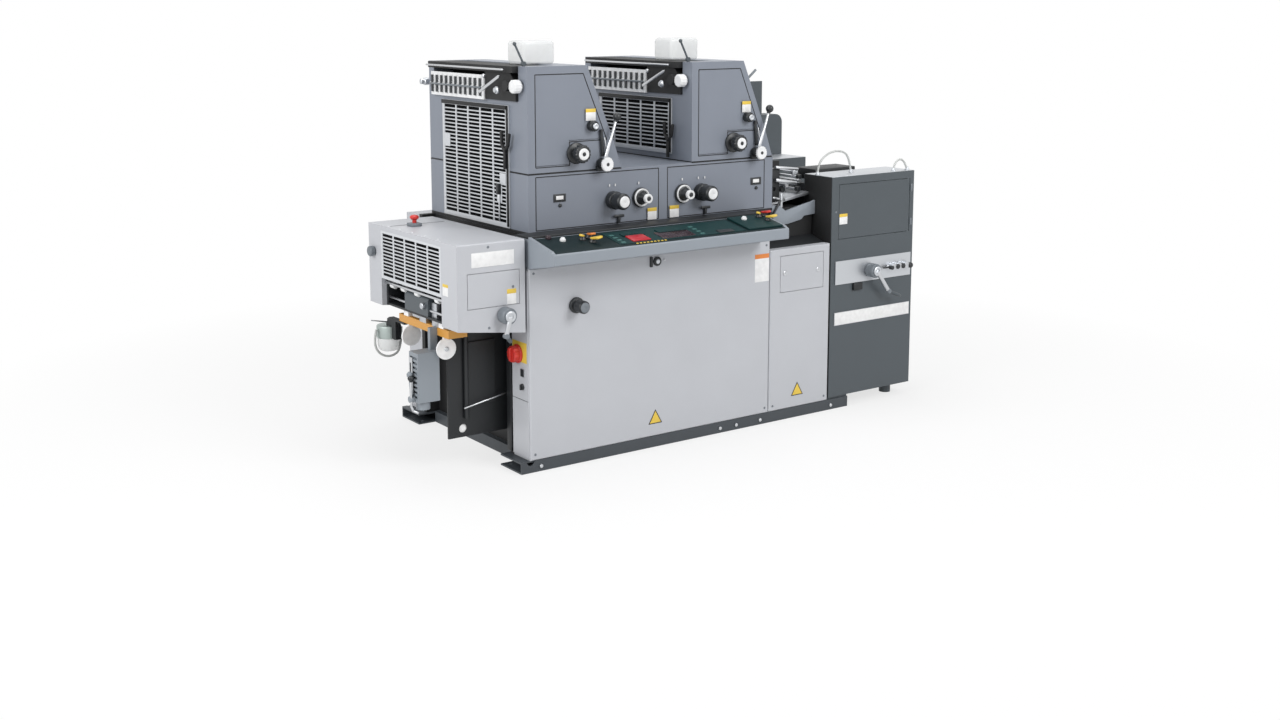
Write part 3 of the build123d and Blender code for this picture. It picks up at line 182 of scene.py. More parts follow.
def enamel(name, paint, edge, gloss):
    """Stove enamel on pressed steel, with orange peel, wiped patches and a painted highlight on its edges."""
    material, tree, shader = new_material(name)
    place = add(tree, "ShaderNodeTexCoord").outputs["Object"]
    peel = noise(tree, place, 1000 / PEEL_SIZE / 3, 2.0)
    wipe = noise(tree, place, 1000 / WIPE_SIZE, 4.0)
    rounded = add(tree, "ShaderNodeBevel", {"samples": 4, "Radius": EDGE_ROUND * MM}).outputs["Normal"]
    true_face = add(tree, "ShaderNodeNewGeometry").outputs["Normal"]
    turn = add(tree, "ShaderNodeVectorMath", {"operation": "DOT_PRODUCT"}, {0: rounded, 1: true_face})
    # The paler edge colour is a painted highlight along the rounded edges.
    edge_highlight = ranged(tree, turn.outputs["Value"], 0.0, 0.55, 0.99, 0.80)
    tint = add(tree, "ShaderNodeMix", {"data_type": "RGBA", 6: colour(paint), 7: colour(edge)},
               {"Factor": edge_highlight})
    patch = ranged(tree, wipe, 0.98, 1.015, 0.3, 0.7)
    shade = add(tree, "ShaderNodeHueSaturation", {}, {"Color": tint.outputs[2], "Value": patch})
    rough = ranged(tree, wipe, gloss - 0.03, gloss + 0.04, 0.3, 0.7)
    bump = add(tree, "ShaderNodeBump", {"Strength": 0.12, "Distance": 0.0002},
               {"Height": peel, "Normal": rounded})
    wire(tree, shader, {"Base Color": shade.outputs["Color"], "Roughness": rough,
                        "Normal": bump.outputs["Normal"]})
    return material


# Each enamel's second colour is the painted highlight on its edges.
pale_enamel = enamel("stove_enamel_pale_grey", "#b8babf", "#d4d6da", 0.42)
unit_enamel = enamel("stove_enamel_blue_grey", "#7d838e", "#a2a7b0", 0.38)
feeder_enamel = enamel("stove_enamel_dark_grey", "#474e53", "#6c7379", 0.42)
gearbox_enamel = enamel("stove_enamel_mid_grey", "#868d94", "#a6acb2", 0.42)
frame_enamel = enamel("stove_enamel_charcoal", "#3c4146", "#5d6268", 0.50)
guard_enamel = enamel("stove_enamel_guard_grey", "#c9ccd0", "#e0e2e4", 0.42)
# Near black: the real black of the fountain castings, handles and seals, and painted shade on the machine
# body and along the door gaps; the feeder's sides and a beam in the feedboard take it too.
black_and_painted_shade = enamel("stove_enamel_black_and_painted_shade", "#0a0b0d", "#1b1d20", 0.62)
console_enamel = enamel("stove_enamel_console_grey", "#8a9199", "#a9afb6", 0.42)
black_enamel = enamel("stove_enamel_black", "#15181b", "#33373b", 0.50)
yellow_enamel = enamel("stove_enamel_yellow", "#cf9540", "#e5c07c", 0.40)
print("enamels", [m.name for m in (pale_enamel, unit_enamel, feeder_enamel, frame_enamel)])

# %% [markdown]
# Knobs and grips are moulded phenolic or nylon: even colour, a soft gloss, and a fine matt
# grain from the mould. The same recipe with other colours serves the red cap, the white
# discs and the lamps.

# %% Moulded plastics
GRAIN_SIZE = 0.8          # mm, the mould's spark grain, drawn coarse enough to show


def moulded(name, tone, gloss, shine=0.5):
    """Moulded plastic with a fine mould grain; shine is the strength of its reflection."""
    material, tree, shader = new_material(name)
    place = add(tree, "ShaderNodeTexCoord").outputs["Object"]
    grain = noise(tree, place, 1000 / GRAIN_SIZE / 3, 3.0)
    cloud = noise(tree, place, 40.0, 3.0)
    spread = ranged(tree, cloud, 0.92, 1.06, 0.3, 0.7)
    shade = add(tree, "ShaderNodeHueSaturation", {"Color": colour(tone)}, {"Value": spread})
    rough = ranged(tree, cloud, gloss - 0.06, gloss + 0.08)
    bump = add(tree, "ShaderNodeBump", {"Strength": 0.2, "Distance": 0.0001}, {"Height": grain})
    wire(tree, shader, {"Base Color": shade.outputs["Color"], "Roughness": rough,
                        "Normal": bump.outputs["Normal"]})
    shader.inputs["IOR"].default_value = 1.5
    shader.inputs["Specular IOR Level"].default_value = shine
    return material


black_phenolic = moulded("moulded_black_phenolic", "#202326", 0.38)
grey_nylon = moulded("moulded_grey_nylon", "#6f757b", 0.45)
white_nylon = moulded("moulded_white_nylon", "#e6e7e8", 0.40)
# A paler copy of the white nylon, with painted light: the jogger discs lie in the hood's shade and are
# painted brighter to make up for it. The disc in the plate's hole takes it too.
nylon_with_painted_light = moulded("moulded_bright_nylon_disc", "#f6f6f6", 0.35)
red_plastic = moulded("moulded_red_plastic", "#c9322b", 0.32)
orange_plastic = moulded("moulded_orange_plastic", "#d9803a", 0.35)
yellow_plastic = moulded("moulded_yellow_plastic", "#e0bf4a", 0.38)
teal_membrane = moulded("moulded_teal_membrane", "#0f2f30", 0.50, 0.2)
roller_rubber = moulded("ground_roller_rubber", "#2c4352", 0.50)
# Painted shade: a near-black sheet behind the guards' slots stands for the dark inside the machine.
painted_slot_shade = moulded("painted_shade_behind_slots", "#040506", 0.90, 0.1)
console_face_paint = moulded("moulded_console_face", "#0b1d20", 0.50, 0.2)
membrane_teal = moulded("embossed_membrane_key", "#3a6663", 0.40)
red_display = moulded("lit_red_display", "#b3242f", 0.30)
dark_lens = moulded("smoked_display_lens", "#34262c", 0.25)
white_film = moulded("printed_white_film", "#e4e4e4", 0.45)
key_black = moulded("moulded_ink_key_black", "#25292d", 0.40)
print("moulded plastics with a grain of", GRAIN_SIZE, "mm")

# %% [markdown]
# Levers, cranks and rods are turned or ground steel. Turning leaves fine rings; here a long
# thin noise stands for the grinding marks, and the roughness follows it.

# %% Bright metal


def ground_metal(name, tone, gloss, stretch):
    """Ground or turned steel: a metal whose roughness follows fine stretched marks."""
    material, tree, shader = new_material(name)
    place = add(tree, "ShaderNodeTexCoord").outputs["Object"]
    along = add(tree, "ShaderNodeMapping", {"Scale": stretch}, {"Vector": place}).outputs["Vector"]
    marks = noise(tree, along, 200.0, 4.0)
    rough = ranged(tree, marks, gloss - 0.08, gloss + 0.12)
    bump = add(tree, "ShaderNodeBump", {"Strength": 0.1, "Distance": 0.0001}, {"Height": marks})
    shader.inputs["Base Color"].default_value = colour(tone)
    shader.inputs["Metallic"].default_value = 1.0
    wire(tree, shader, {"Roughness": rough, "Normal": bump.outputs["Normal"]})
    return material


jar_metal = ground_metal("drawn_zinc_lid", "#aab4b1", 0.42, (1.0, 1.0, 4.0))
bright_steel = ground_metal("ground_bright_steel", "#c9cbce", 0.30, (1.0, 1.0, 6.0))
satin_aluminium = ground_metal("brushed_satin_aluminium", "#c4c7cb", 0.40, (0.2, 6.0, 6.0))
print("metals", [m.name for m in (jar_metal, bright_steel, satin_aluminium)])

# %% [markdown]
# Bottles and the spray jar are blow-moulded polyethylene: milky, so light passes through but
# no shape does.

# %% Milky polyethylene


def milky(name, tone, alpha):
    """Blow-moulded polyethylene, milky and a little see-through."""
    material, tree, shader = new_material(name)
    place = add(tree, "ShaderNodeTexCoord").outputs["Object"]
    haze = noise(tree, place, 18.0, 3.0)
    level = ranged(tree, haze, alpha - 0.08, alpha + 0.08)
    bump = add(tree, "ShaderNodeBump", {"Strength": 0.1, "Distance": 0.001}, {"Height": haze})
    shader.inputs["Base Color"].default_value = colour(tone)
    shader.inputs["Roughness"].default_value = 0.35
    shader.inputs["IOR"].default_value = 1.51
    wire(tree, shader, {"Alpha": level, "Normal": bump.outputs["Normal"]})
    return material


milky_polyethylene = milky("blow_moulded_polyethylene", "#eceeee", 0.55)
clear_hose = milky("extruded_clear_hose", "#c4c6c4", 0.80)
print("milky", milky_polyethylene.name, clear_hose.name)

# %% [markdown]
# Each CAD node takes the finish of the real piece, except the machine body, which is painted near black as
# shade.

# %% Paint the CAD nodes
finishes = {
    pale_enamel: ("front_cover", "side_cover", "inset_doors", "delivery_hood", "switch_panel",
                  "drive_cover"),
    guard_enamel: ("guard_1", "guard_2", "delivery_guard"),
    unit_enamel: ("lower_unit_housing", "unit_covers", "tower_1_housing", "tower_2_housing"),
    feeder_enamel: ("feeder_cabinet_front", "feeder_cabinet_rear", "feeder_door", "control_box", "feedboard",
                    "brake_cover", "top_lever_1", "top_lever_2"),
    gearbox_enamel: ("lift_gearbox",),
    frame_enamel: ("base_frame",),
    # The machine body is painted shade: near black where it sits deep in shadow. The ink fountains are black
    # castings.
    black_and_painted_shade: ("machine_body", "ink_fountains"),
    console_enamel: ("console_housing",),
    black_enamel: ("side_cover_rim", "delivery_frame", "feeder_head_plate", "pump_head"),
    yellow_enamel: ("jogger_bar",),
    black_phenolic: ("door_fittings", "console_levers", "plate_knob_1", "plate_knob_2", "side_knob_1",
                     "side_knob_2", "cover_knob", "dial_knob_1", "dial_knob_2", "handwheel_1", "handwheel_2"),
    white_nylon: ("ink_key_plates",),
    nylon_with_painted_light: ("jogger_wheels",),
    red_plastic: ("main_switch", "stop_button"),
    teal_membrane: ("console_panel",),
    roller_rubber: ("inking_rollers",),
    bright_steel: ("throw_lever_1", "throw_lever_2", "delivery_crank",
                   "feeder_crank", "feedboard_rollers", "feeder_pile_board"),
    satin_aluminium: ("feeder_strip",),
    milky_polyethylene: ("solution_bottles", "spray_jar"),
    clear_hose: ("feeder_hose_left", "feeder_hose_right", "jar_hose"),
}
painted = set()
for finish, names in finishes.items():
    for name in names:
        node = frame["nodes"][name]
        node.data.materials.clear()
        node.data.materials.append(finish)
        painted.add(name)
print("not painted:", sorted(set(frame["nodes"]) - painted))

# %% [markdown]

# %% [markdown]
# Three clear hoses lie free: two arch over the feeder and one hangs in a loop under the spray
# jar. A hose has no corners, so each is a NURBS curve through a few given points,
# with a round bevel for its thickness.

# %% Hoses
HOSE_DIAMETER = 9


def hose(name, node, route):
    """A free hose along a smooth line; it takes the place of its CAD tube."""
    line = bpy.data.curves.new(name, "CURVE")
    line.dimensions = "3D"
    line.bevel_depth = HOSE_DIAMETER / 2 * MM
    line.bevel_resolution = 6
    line.resolution_u = 16
    line.use_fill_caps = True
    line.materials.append(clear_hose)
    spline = line.splines.new("NURBS")
    spline.points.add(len(route) - 1)
    for point, place in zip(spline.points, route):
        point.co = (*spot(*place), 1)
    spline.order_u = 3
    spline.use_endpoint_u = True
    piece = bpy.data.objects.new(name, line)
    bpy.context.scene.collection.objects.link(piece)
    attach(piece, "press")
    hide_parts(node)
    return piece


left_hose = hose("feeder_air_hose_left", "feeder_hose_left", [
    (1483, 100, 992.3), (1483, 100, 1038), (1537, 100, 1084), (1617, 100, 1090), (1663, 100, 1060),
    (1674, 100, 993.1)])
right_hose = hose("feeder_air_hose_right", "feeder_hose_right", [
    (1858, 30, 993), (1861, 30, 1022), (1893, 30, 1044), (1925, 30, 1030), (1941, 30, 994.2)])
jar_loop = hose("jar_loop_hose", "jar_hose", [
    (-300.3, 639, 462), (-313, 639, 410), (-289, 639, 362), (-239, 639, 346), (-195, 639, 372),
    (-193.7, 639, 462)])
hoses = (left_hose, right_hose, jar_loop)
print("hoses", [piece.name for piece in hoses])

# %% [markdown]
# The solids have the true size and place of each sub-part, but few faces. What a hand or an
# eye meets up close, such as knobs, balls and discs, is modelled again here on the same
# centres, and takes the place of its solid.
#
# Turned pieces are made as on a lathe: a disc stands at the foot of the piece, and its edge is
# extruded along the axis and resized, ring by ring, along the profile.

# %% Modelling helpers
FRONT = Vector((0, -1, 0))
LEFT = Vector((-1, 0, 0))
UP = Vector((0, 0, 1))


def place_at(place):
    """A place in metres: mm on the drawing go through spot, and a vector stays."""
    return place if isinstance(place, Vector) else spot(*place)


def deselect():
    """Nothing selected, in object mode."""
    if bpy.context.object and bpy.context.object.mode != "OBJECT":
        bpy.ops.object.mode_set(mode="OBJECT")
    bpy.ops.object.select_all(action="DESELECT")


def take(piece):
    """One piece alone selected, and active."""
    deselect()
    piece.select_set(True)
    bpy.context.view_layer.objects.active = piece


def pick(piece, vertices=(), faces=()):
    """Only these vertices or faces of a piece selected, given by number."""
    mesh = piece.data
    for parts, chosen in ((mesh.vertices, vertices), (mesh.edges, ()), (mesh.polygons, faces)):
        for part in parts:
            part.select = part.index in chosen


def edit(kind):
    """Into edit mode, where vertices or faces are worked on."""
    bpy.ops.object.mode_set(mode="EDIT")
    bpy.ops.mesh.select_mode(type=kind)


def complete(name, finish, body="press", soften=0.0, angle=35):
    """Names the active piece, bakes its place into its mesh, softens it, paints it and lets it ride."""
    piece = bpy.context.object
    piece.name = name
    bpy.ops.object.transform_apply(location=True, rotation=True, scale=True)
    if soften:
        bevel = piece.modifiers.new("soften", "BEVEL")
        bevel.width = soften * MM
        bevel.segments = 2
        bevel.limit_method = "ANGLE"
        bevel.angle_limit = math.radians(30)
        bpy.ops.object.modifier_apply(modifier=bevel.name)
    bpy.ops.object.shade_smooth_by_angle(angle=math.radians(angle))
    piece.data.materials.append(finish)
    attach(piece, body)
    return piece


def turned(name, foot, axis, rings, finish, body="press", sides=40, soften=0.6):
    """A turned piece: rings are (radius, height) in mm along the axis, from its foot."""
    deselect()
    radius, height = rings[0]
    centre = place_at(foot) + axis * height * MM
    bpy.ops.mesh.primitive_circle_add(vertices=sides, radius=radius * MM, fill_type="NGON", location=centre,
                                      rotation=axis.to_track_quat("Z", "Y").to_euler())
    bpy.ops.object.mode_set(mode="EDIT")
    for next_radius, next_height in rings[1:]:
        step = axis * (next_height - height) * MM
        bpy.ops.mesh.extrude_region_move(TRANSFORM_OT_translate={"value": step})
        centre = centre + step
        bpy.ops.transform.resize(value=(next_radius / radius,) * 3, center_override=centre)
        radius, height = next_radius, next_height
    bpy.ops.mesh.select_all(action="SELECT")
    bpy.ops.mesh.normals_make_consistent(inside=False)
    bpy.ops.object.mode_set(mode="OBJECT")
    return complete(name, finish, body, soften)


def plate(name, low, high, finish, body="press", soften=0.3):
    """A flat plate or block between two corners, with softened edges."""
    deselect()
    low, high = place_at(low), place_at(high)
    bpy.ops.mesh.primitive_cube_add(size=1, location=(low + high) / 2)
    bpy.context.object.scale = [abs(b - a) for a, b in zip(low, high)]
    return complete(name, finish, body, soften)


def ball(name, centre, radius, finish, body="press", neck=Vector((0, 0, -1))):
    """A turned ball knob: the cap that faces its rod is drawn out into a short neck."""
    deselect()
    axis = neck.normalized()
    bpy.ops.mesh.primitive_uv_sphere_add(segments=32, ring_count=18, radius=radius * MM, location=centre,
                                         rotation=axis.to_track_quat("Z", "Y").to_euler())
    sphere = bpy.context.object
    pick(sphere, faces=[face.index for face in sphere.data.polygons if face.center.z > radius * MM * 0.90])
    edit("FACE")
    bpy.ops.mesh.extrude_region_move(TRANSFORM_OT_translate={"value": axis * radius * 0.28 * MM})
    bpy.ops.object.mode_set(mode="OBJECT")
    return complete(name, finish, body)


def rod(name, start, end, radius, finish, body="press", sides=20):
    """A round rod between two places."""
    start, end = place_at(start), place_at(end)
    rings = [(radius, 0), (radius, (end - start).length / MM)]
    return turned(name, start, (end - start).normalized(), rings, finish, body, sides,
                  min(0.6, radius / 4))


def copy_of(piece, name, shift, body=None):
    """A copy with its own mesh, moved by a distance in metres."""
    take(piece)
    bpy.ops.object.duplicate()
    twin = bpy.context.object
    twin.name = name
    twin.location = shift
    bpy.ops.object.transform_apply(location=True, rotation=False, scale=False)
    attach(twin, body or piece["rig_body"])
    return twin


def flute(piece, foot, axis, start, stop, count, depth):
    """Cuts flutes in a turned grip: between two heights, every second strip of its side moves inwards."""
    side = axis.to_track_quat("Z", "Y") @ Vector((1, 0, 0))
    other = axis.cross(side)
    strips = []
    for vertex in piece.data.vertices:
        spoke = vertex.co - foot
        around = math.degrees(math.atan2(spoke.dot(other), spoke.dot(side))) % (360 / count)
        if start < spoke.dot(axis) / MM < stop and around < 130 / count:
            strips.append(vertex.index)
    pick(piece, vertices=strips)
    take(piece)
    edit("VERT")
    shrink = [1 if abs(part) > 0.5 else 1 - depth for part in axis]
    bpy.ops.transform.resize(value=shrink, center_override=foot)
    bpy.ops.object.mode_set(mode="OBJECT")


def draw_corner(piece, number, goal):
    """Draws one vertex of a piece to its place."""
    way = goal - piece.data.vertices[number].co
    pick(piece, vertices=[number])
    edit("VERT")
    bpy.ops.transform.translate(value=way)
    bpy.ops.object.mode_set(mode="OBJECT")


def profiled(name, corners, thickness, finish, soften=1.0):
    """A plate with its own outline: a disc's corners are drawn to their places, then it gets thickness."""
    deselect()
    bpy.ops.mesh.primitive_circle_add(vertices=len(corners), radius=0.01, fill_type="NGON")
    for number, corner in enumerate(corners):
        draw_corner(bpy.context.object, number, corner)
    normal = (corners[1] - corners[0]).cross(corners[2] - corners[1]).normalized()
    bpy.ops.object.mode_set(mode="EDIT")
    bpy.ops.mesh.select_all(action="SELECT")
    bpy.ops.mesh.extrude_region_move(TRANSFORM_OT_translate={"value": normal * thickness * MM})
    bpy.ops.mesh.select_all(action="SELECT")
    bpy.ops.mesh.normals_make_consistent(inside=False)
    bpy.ops.object.mode_set(mode="OBJECT")
    return complete(name, finish, soften=soften)


def arrayed(piece, step, count):
    """Repeats a piece along a step in metres, inside its own mesh."""
    repeat = piece.modifiers.new("repeat", "ARRAY")
    repeat.count = count
    repeat.use_relative_offset = False
    repeat.use_constant_offset = True
    repeat.constant_offset_displace = step
    take(piece)
    bpy.ops.object.modifier_apply(modifier=repeat.name)


print("helpers for turned, flat, round and profiled pieces")

# %% [markdown]
# The guards are sheet steel with rows of punched slots. Here each is a pressed tray: its left
# face is inset and pushed back. A near-black sheet lies in it as painted shade, for the dark
# inside behind the slots, and pale bars and posts stand over it, so the slots between them are
# real gaps that show that shade.

# %% Slotted panel
BAR_DOWN, BAR_UP = 2.7, 2.1      # mm that a bar between two rows of slots reaches down and up
POST_HALF = 4.5                  # mm, half the width of a post between two columns of slots


def slotted_panel(name, x, y, z, margins, columns, pitch, body="press"):
    """A slotted guard facing left, by its extents in mm.

    Margins are those at the near end, the far end, the foot and the top.
    """
    near, far, foot, top = y[0] + margins[0], y[1] - margins[1], z[0] + margins[2], z[1] - margins[3]
    deselect()
    low, high = spot(x[0], y[0], z[0]), spot(x[1], y[1], z[1])
    bpy.ops.mesh.primitive_cube_add(size=1, location=(low + high) / 2)
    tray = bpy.context.object
    tray.scale = high - low
    bpy.ops.object.transform_apply(location=True, scale=True)
    pick(tray, faces=[face.index for face in tray.data.polygons if face.normal.x < -0.9])
    edit("FACE")
    bpy.ops.mesh.inset(thickness=10 * MM)
    bpy.ops.object.mode_set(mode="OBJECT")
    corners = [list(face.vertices) for face in tray.data.polygons if face.select][0]
    for number in corners:
        place = tray.data.vertices[number].co
        side = near if place.y < (low.y + high.y) / 2 else far
        level = foot if place.z < (low.z + high.z) / 2 else top
        draw_corner(tray, number, Vector((place.x, spot(0, side, 0).y, level * MM)))
    pick(tray, faces=[face.index for face in tray.data.polygons if set(face.vertices) == set(corners)])
    edit("FACE")
    depth = (x[1] - x[0]) * 0.7
    bpy.ops.mesh.extrude_region_move(TRANSFORM_OT_translate={"value": (depth * MM, 0, 0)})
    bpy.ops.object.mode_set(mode="OBJECT")
    complete(f"{name}_tray", guard_enamel, body, 0.5)
    floor = x[0] + depth
    # This black sheet is painted shade for the dark inside behind the slots.
    plate(f"{name}_lining", (floor - 0.8, near - 0.5, foot - 0.5), (floor + 0.3, far + 0.5, top + 0.5),
          painted_slot_shade, body)
    rows = int((top - foot) / pitch)
    step = (top - foot) / rows
    bar = plate(f"{name}_bars", (x[0] + 0.6, near - 1, foot + step - BAR_DOWN),
                (floor - 0.4, far + 1, foot + step + BAR_UP), guard_enamel, body, 0.4)
    arrayed(bar, (0, 0, step * MM), rows - 1)
    width = (far - near) / columns
    post = plate(f"{name}_posts", (x[0] + 0.3, near + width - POST_HALF, foot - 1),
                 (floor - 0.4, near + width + POST_HALF, top + 1), guard_enamel, body, 0.4)
    arrayed(post, (0, width * MM, 0), columns - 1)
    print(name, rows, "rows of slots in", columns, "columns")
    return bar


print("bars reach", BAR_DOWN, "mm down and", BAR_UP, "mm up")

# %% [markdown]
# The handwheels, knobs and throw levers are black phenolic with white nylon discs in their
# ends. The tower's controls repeat on the second tower, one tower pitch to the right, so they
# are modelled once and copied.

# %% Controls on the towers
UNIT_FACE = box_mm("lower_unit_housing")[0][1]
SEAT = 0.3                # mm between a knob's foot and the face that carries it
TOWER_PITCH = (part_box("tower_2_housing")[0][0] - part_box("tower_1_housing")[0][0]) / MM
tower_shift = Vector((TOWER_PITCH * MM, 0, 0))


def twice(piece, node=None):
    """The same piece on the second tower; with a node, both take the place of their solids."""
    twin = copy_of(piece, piece.name.replace("_1", "_2"), tower_shift, piece["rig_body"].replace("_1", "_2"))
    if node:
        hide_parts(node.replace("_1", "_2"))
        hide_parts(node)


wheel_foot = spot(263, UNIT_FACE - SEAT, 1157)
wheel = turned("handwheel_body_1", wheel_foot, FRONT, [(36, 0), (40, 3), (40, 8), (37, 10), (20, 12),
               (20, 36)], black_phenolic, "handwheel_1")
wheel_grip = turned("handwheel_grip_1", wheel_foot, FRONT, [(29, 30), (34, 33), (34, 52), (31, 56),
                    (23, 57), (23, 55)], black_phenolic, "handwheel_1", 60, 0)
flute(wheel_grip, wheel_foot, FRONT, 31, 56.5, 15, 0.08)
wheel_disc = turned("handwheel_disc_1", wheel_foot, FRONT, [(22, 54), (22, 59), (20, 60), (8, 60),
                    (8, 57)], white_nylon, "handwheel_1")
wheel_cap = turned("handwheel_cap_1", wheel_foot, FRONT, [(7.5, 56), (7.5, 60), (6, 60.6)],
                   black_phenolic, "handwheel_1")
twice(wheel, "handwheel_1")

hub_foot = spot(374, UNIT_FACE - SEAT, 1112)
hub = turned("throw_hub_1", hub_foot, FRONT, [(18, 0), (20, 3), (20, 24), (17, 26), (17, 42)],
             black_phenolic, "throw_lever_1")
hub_disc = turned("throw_disc_1", hub_foot, FRONT, [(25, 41), (27, 43), (27, 50), (25, 52), (7, 52),
                  (7, 50)], white_nylon, "throw_lever_1", 60, 0)
flute(hub_disc, hub_foot, FRONT, 40.5, 53, 20, 0.07)
hub_cap = turned("throw_cap_1", hub_foot, FRONT, [(7.5, 49), (7.5, 51.6), (6, 52.6)],
                 black_phenolic, "throw_lever_1")
arm_start = spot(374, UNIT_FACE - 23, 1112)
ball_centre = spot(434.9, UNIT_FACE - 23.3, 1285.6)
arm_way = ball_centre - arm_start
arm = turned("throw_rod_1", arm_start, arm_way.normalized(), [(7, 0), (7, 40), (4.2, arm_way.length / MM)],
             bright_steel, "throw_lever_1", 24)
grip_ball = ball("throw_ball_1", ball_centre, 16, black_phenolic, "throw_lever_1", -arm_way)
twice(arm, "throw_lever_1")

dial_foot = spot(333, UNIT_FACE - SEAT, 1255)
dial = turned("dial_body_1", dial_foot, FRONT, [(20, 0), (20, 24), (17, 28), (13, 28), (13, 26)],
              black_phenolic, "dial_knob_1")
dial_ring = turned("dial_ring_1", dial_foot, FRONT, [(12, 26), (12, 34), (10, 36), (5, 36), (5, 33)],
                   satin_aluminium, "dial_knob_1")
twice(dial, "dial_knob_1")
for piece in (wheel_grip, wheel_disc, wheel_cap, hub, hub_disc, hub_cap, grip_ball, dial_ring):
    twice(piece)
print("tower controls on both towers,", TOWER_PITCH, "mm apart")

# %% [markdown]
# The lower doors carry four knobs, mirrored about the post between the doors: a stepped knob
# with a white disc, and a flanged one whose white ring shows round a black cone. A fifth knob
# sits on the front cover.

# %% Knobs on the lower doors
KNOB_HEIGHT = 970


def stepped_knob(number, x):
    """The plate-cylinder knob: a wide base, a narrower neck and a white disc."""
    foot = spot(x, UNIT_FACE - SEAT, KNOB_HEIGHT)
    body = f"plate_knob_{number}"
    base = turned(f"{body}_base", foot, FRONT, [(31, 0), (34, 3), (34, 29), (31, 32), (27, 33),
                  (31, 36), (31, 76), (27, 82)], black_phenolic, body)
    turned(f"{body}_disc", foot, FRONT, [(22, 81), (22, 84), (20.5, 85), (5, 85), (5, 83)], white_nylon,
           body)
    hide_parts(body)


def flanged_knob(number, x):
    """The register knob: a black flange, a white ring, a black cone and a white-rimmed cap."""
    foot = spot(x, UNIT_FACE - SEAT, KNOB_HEIGHT)
    body = f"side_knob_{number}"
    base = turned(f"{body}_base", foot, FRONT, [(36, 0), (38, 2), (38, 10), (36, 12), (30, 12),
                  (22, 16), (17, 46)], black_phenolic, body)
    turned(f"{body}_ring", foot, FRONT, [(35, 11), (35, 15), (33.5, 16), (30.5, 16), (30.5, 13)],
           white_nylon, body)
    turned(f"{body}_cap", foot, FRONT, [(17, 45), (18, 47), (18, 58), (17, 59), (10, 59), (10, 56)],
           white_nylon, body)
    turned(f"{body}_eye", foot, FRONT, [(8, 55), (8, 59.5), (7, 60)], black_phenolic, body)
    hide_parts(body)


stepped_knob(1, 428)
stepped_knob(2, 849.5)
flanged_knob(1, 558)
flanged_knob(2, 760.5)

cover_foot = spot(200, -SEAT, 606)
cover_knob = turned("cover_knob_body", cover_foot, FRONT, [(28, 0), (30, 2), (30, 12), (28, 14),
                    (18, 15), (24, 22), (24, 60), (21, 64)], black_phenolic, "cover_knob")
turned("cover_knob_disc", cover_foot, FRONT, [(19, 63), (19, 66), (17, 67), (4, 67), (4, 66)],
       grey_nylon, "cover_knob")
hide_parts("cover_knob")
print("five knobs at height", KNOB_HEIGHT, "and 606 mm")

# %% [markdown]
# The console is a folded housing with a sloping dark face. On the face lie a membrane keypad
# with a red display and a dark lens, push buttons, and two groups of three short levers with
# coloured paddles. Places on the slope are measured along it and out of it.

# %% Console
CONSOLE_LIP = (-170, 835)     # Y and height of the slope's lower edge
CONSOLE_BACK = (0, 868)       # and of its upper edge
slope_rise = Vector((0, CONSOLE_BACK[0] - CONSOLE_LIP[0], CONSOLE_BACK[1] - CONSOLE_LIP[1])).normalized()
slope_out = Vector((1, 0, 0)).cross(slope_rise)
slope_angle = math.atan2(slope_rise.z, slope_rise.y)


def on_slope(x, along, out=0):
    """A point on the console's slope: mm from its left end, up the slope, and out of it."""
    return spot(x, *CONSOLE_LIP) + (slope_rise * along + slope_out * out) * MM


def slope_plate(name, x, along, out, finish, soften=1.0):
    """A plate lying on the slope between pairs of distances: sideways, up the slope, and out."""
    deselect()
    low, high = on_slope(x[0], along[0], out[0]), on_slope(x[1], along[1], out[1])
    bpy.ops.mesh.primitive_cube_add(size=1, location=(low + high) / 2, rotation=(slope_angle, 0, 0))
    bpy.context.object.scale = [(b - a) * MM for a, b in (x, along, out)]
    return complete(name, finish, soften=soften)


slope_plate("console_face", (13, 1077), (5, 168), (-1, 1.2), console_face_paint)
plate("console_back_seal", (4, 2, 867), (1086, 88, 876.8), black_enamel)
slope_plate("display_red", (366, 446), (34, 104), (2, 7), red_display)
slope_plate("display_lens", (500, 652), (30, 98), (2, 5), dark_lens)
slope_plate("lever_box", (905, 1077), (22, 164), (0, 9), teal_membrane, soften=3)
slope_plate("keypad_slot", (762, 836), (24, 52), (2, 6), black_phenolic, soften=2)
key_lamp = slope_plate("key_lamp", (366, 374), (12, 18), (2, 4.2), yellow_plastic, soften=0.4)
for number in range(1, 9):
    copy_of(key_lamp, f"key_lamp_{number}", Vector((number * 16 * MM, 0, 0)))
membrane_key = slope_plate("membrane_key", (314, 334), (34, 46), (2, 4.4), membrane_teal)
for column in range(2):
    for row in range(4):
        if column or row:
            shift = slope_rise * row * 26 * MM + Vector((column * 366 * MM, 0, 0))
            copy_of(membrane_key, f"membrane_key_{column}_{row}", shift)

button_rings = [(11, 0), (11, 8), (10, 9), (8.5, 9), (8.5, 12), (7, 14)]
white_button = turned("push_button", on_slope(114, 122), slope_out, button_rings, white_nylon, sides=28)
turned("push_button_back", on_slope(75, 158), slope_out, button_rings, dark_lens, sides=28)
copy_of(white_button, "push_button_right", on_slope(958, 122, 7) - on_slope(114, 122))


def paddle_lever(name, x, along, out, size, turn, finish):
    """A short lever: a black boot, and a flat coloured paddle that lies towards the operator.

    Size is the paddle's width and length in mm, turn its angle on the slope in degrees.
    """
    boot = turned(f"{name}_boot", on_slope(x, along, out), slope_out, [(13, -1), (13, 5), (8, 13),
                  (6, 16)], black_phenolic, sides=24, soften=0.5)
    width, length = size
    sine, cosine = math.sin(math.radians(turn)), math.cos(math.radians(turn))
    outline = [(-4, 8), (-width / 2, -length * 0.75), (-width / 4, -length), (width / 4, -length),
               (width / 2, -length * 0.75), (4, 8)]
    corners = [on_slope(x + u * cosine - v * sine, along + u * sine + v * cosine, out + 13 - v * 0.35)
               for u, v in outline]
    profiled(f"{name}_paddle", corners, 8, finish, 2.5)
    return boot


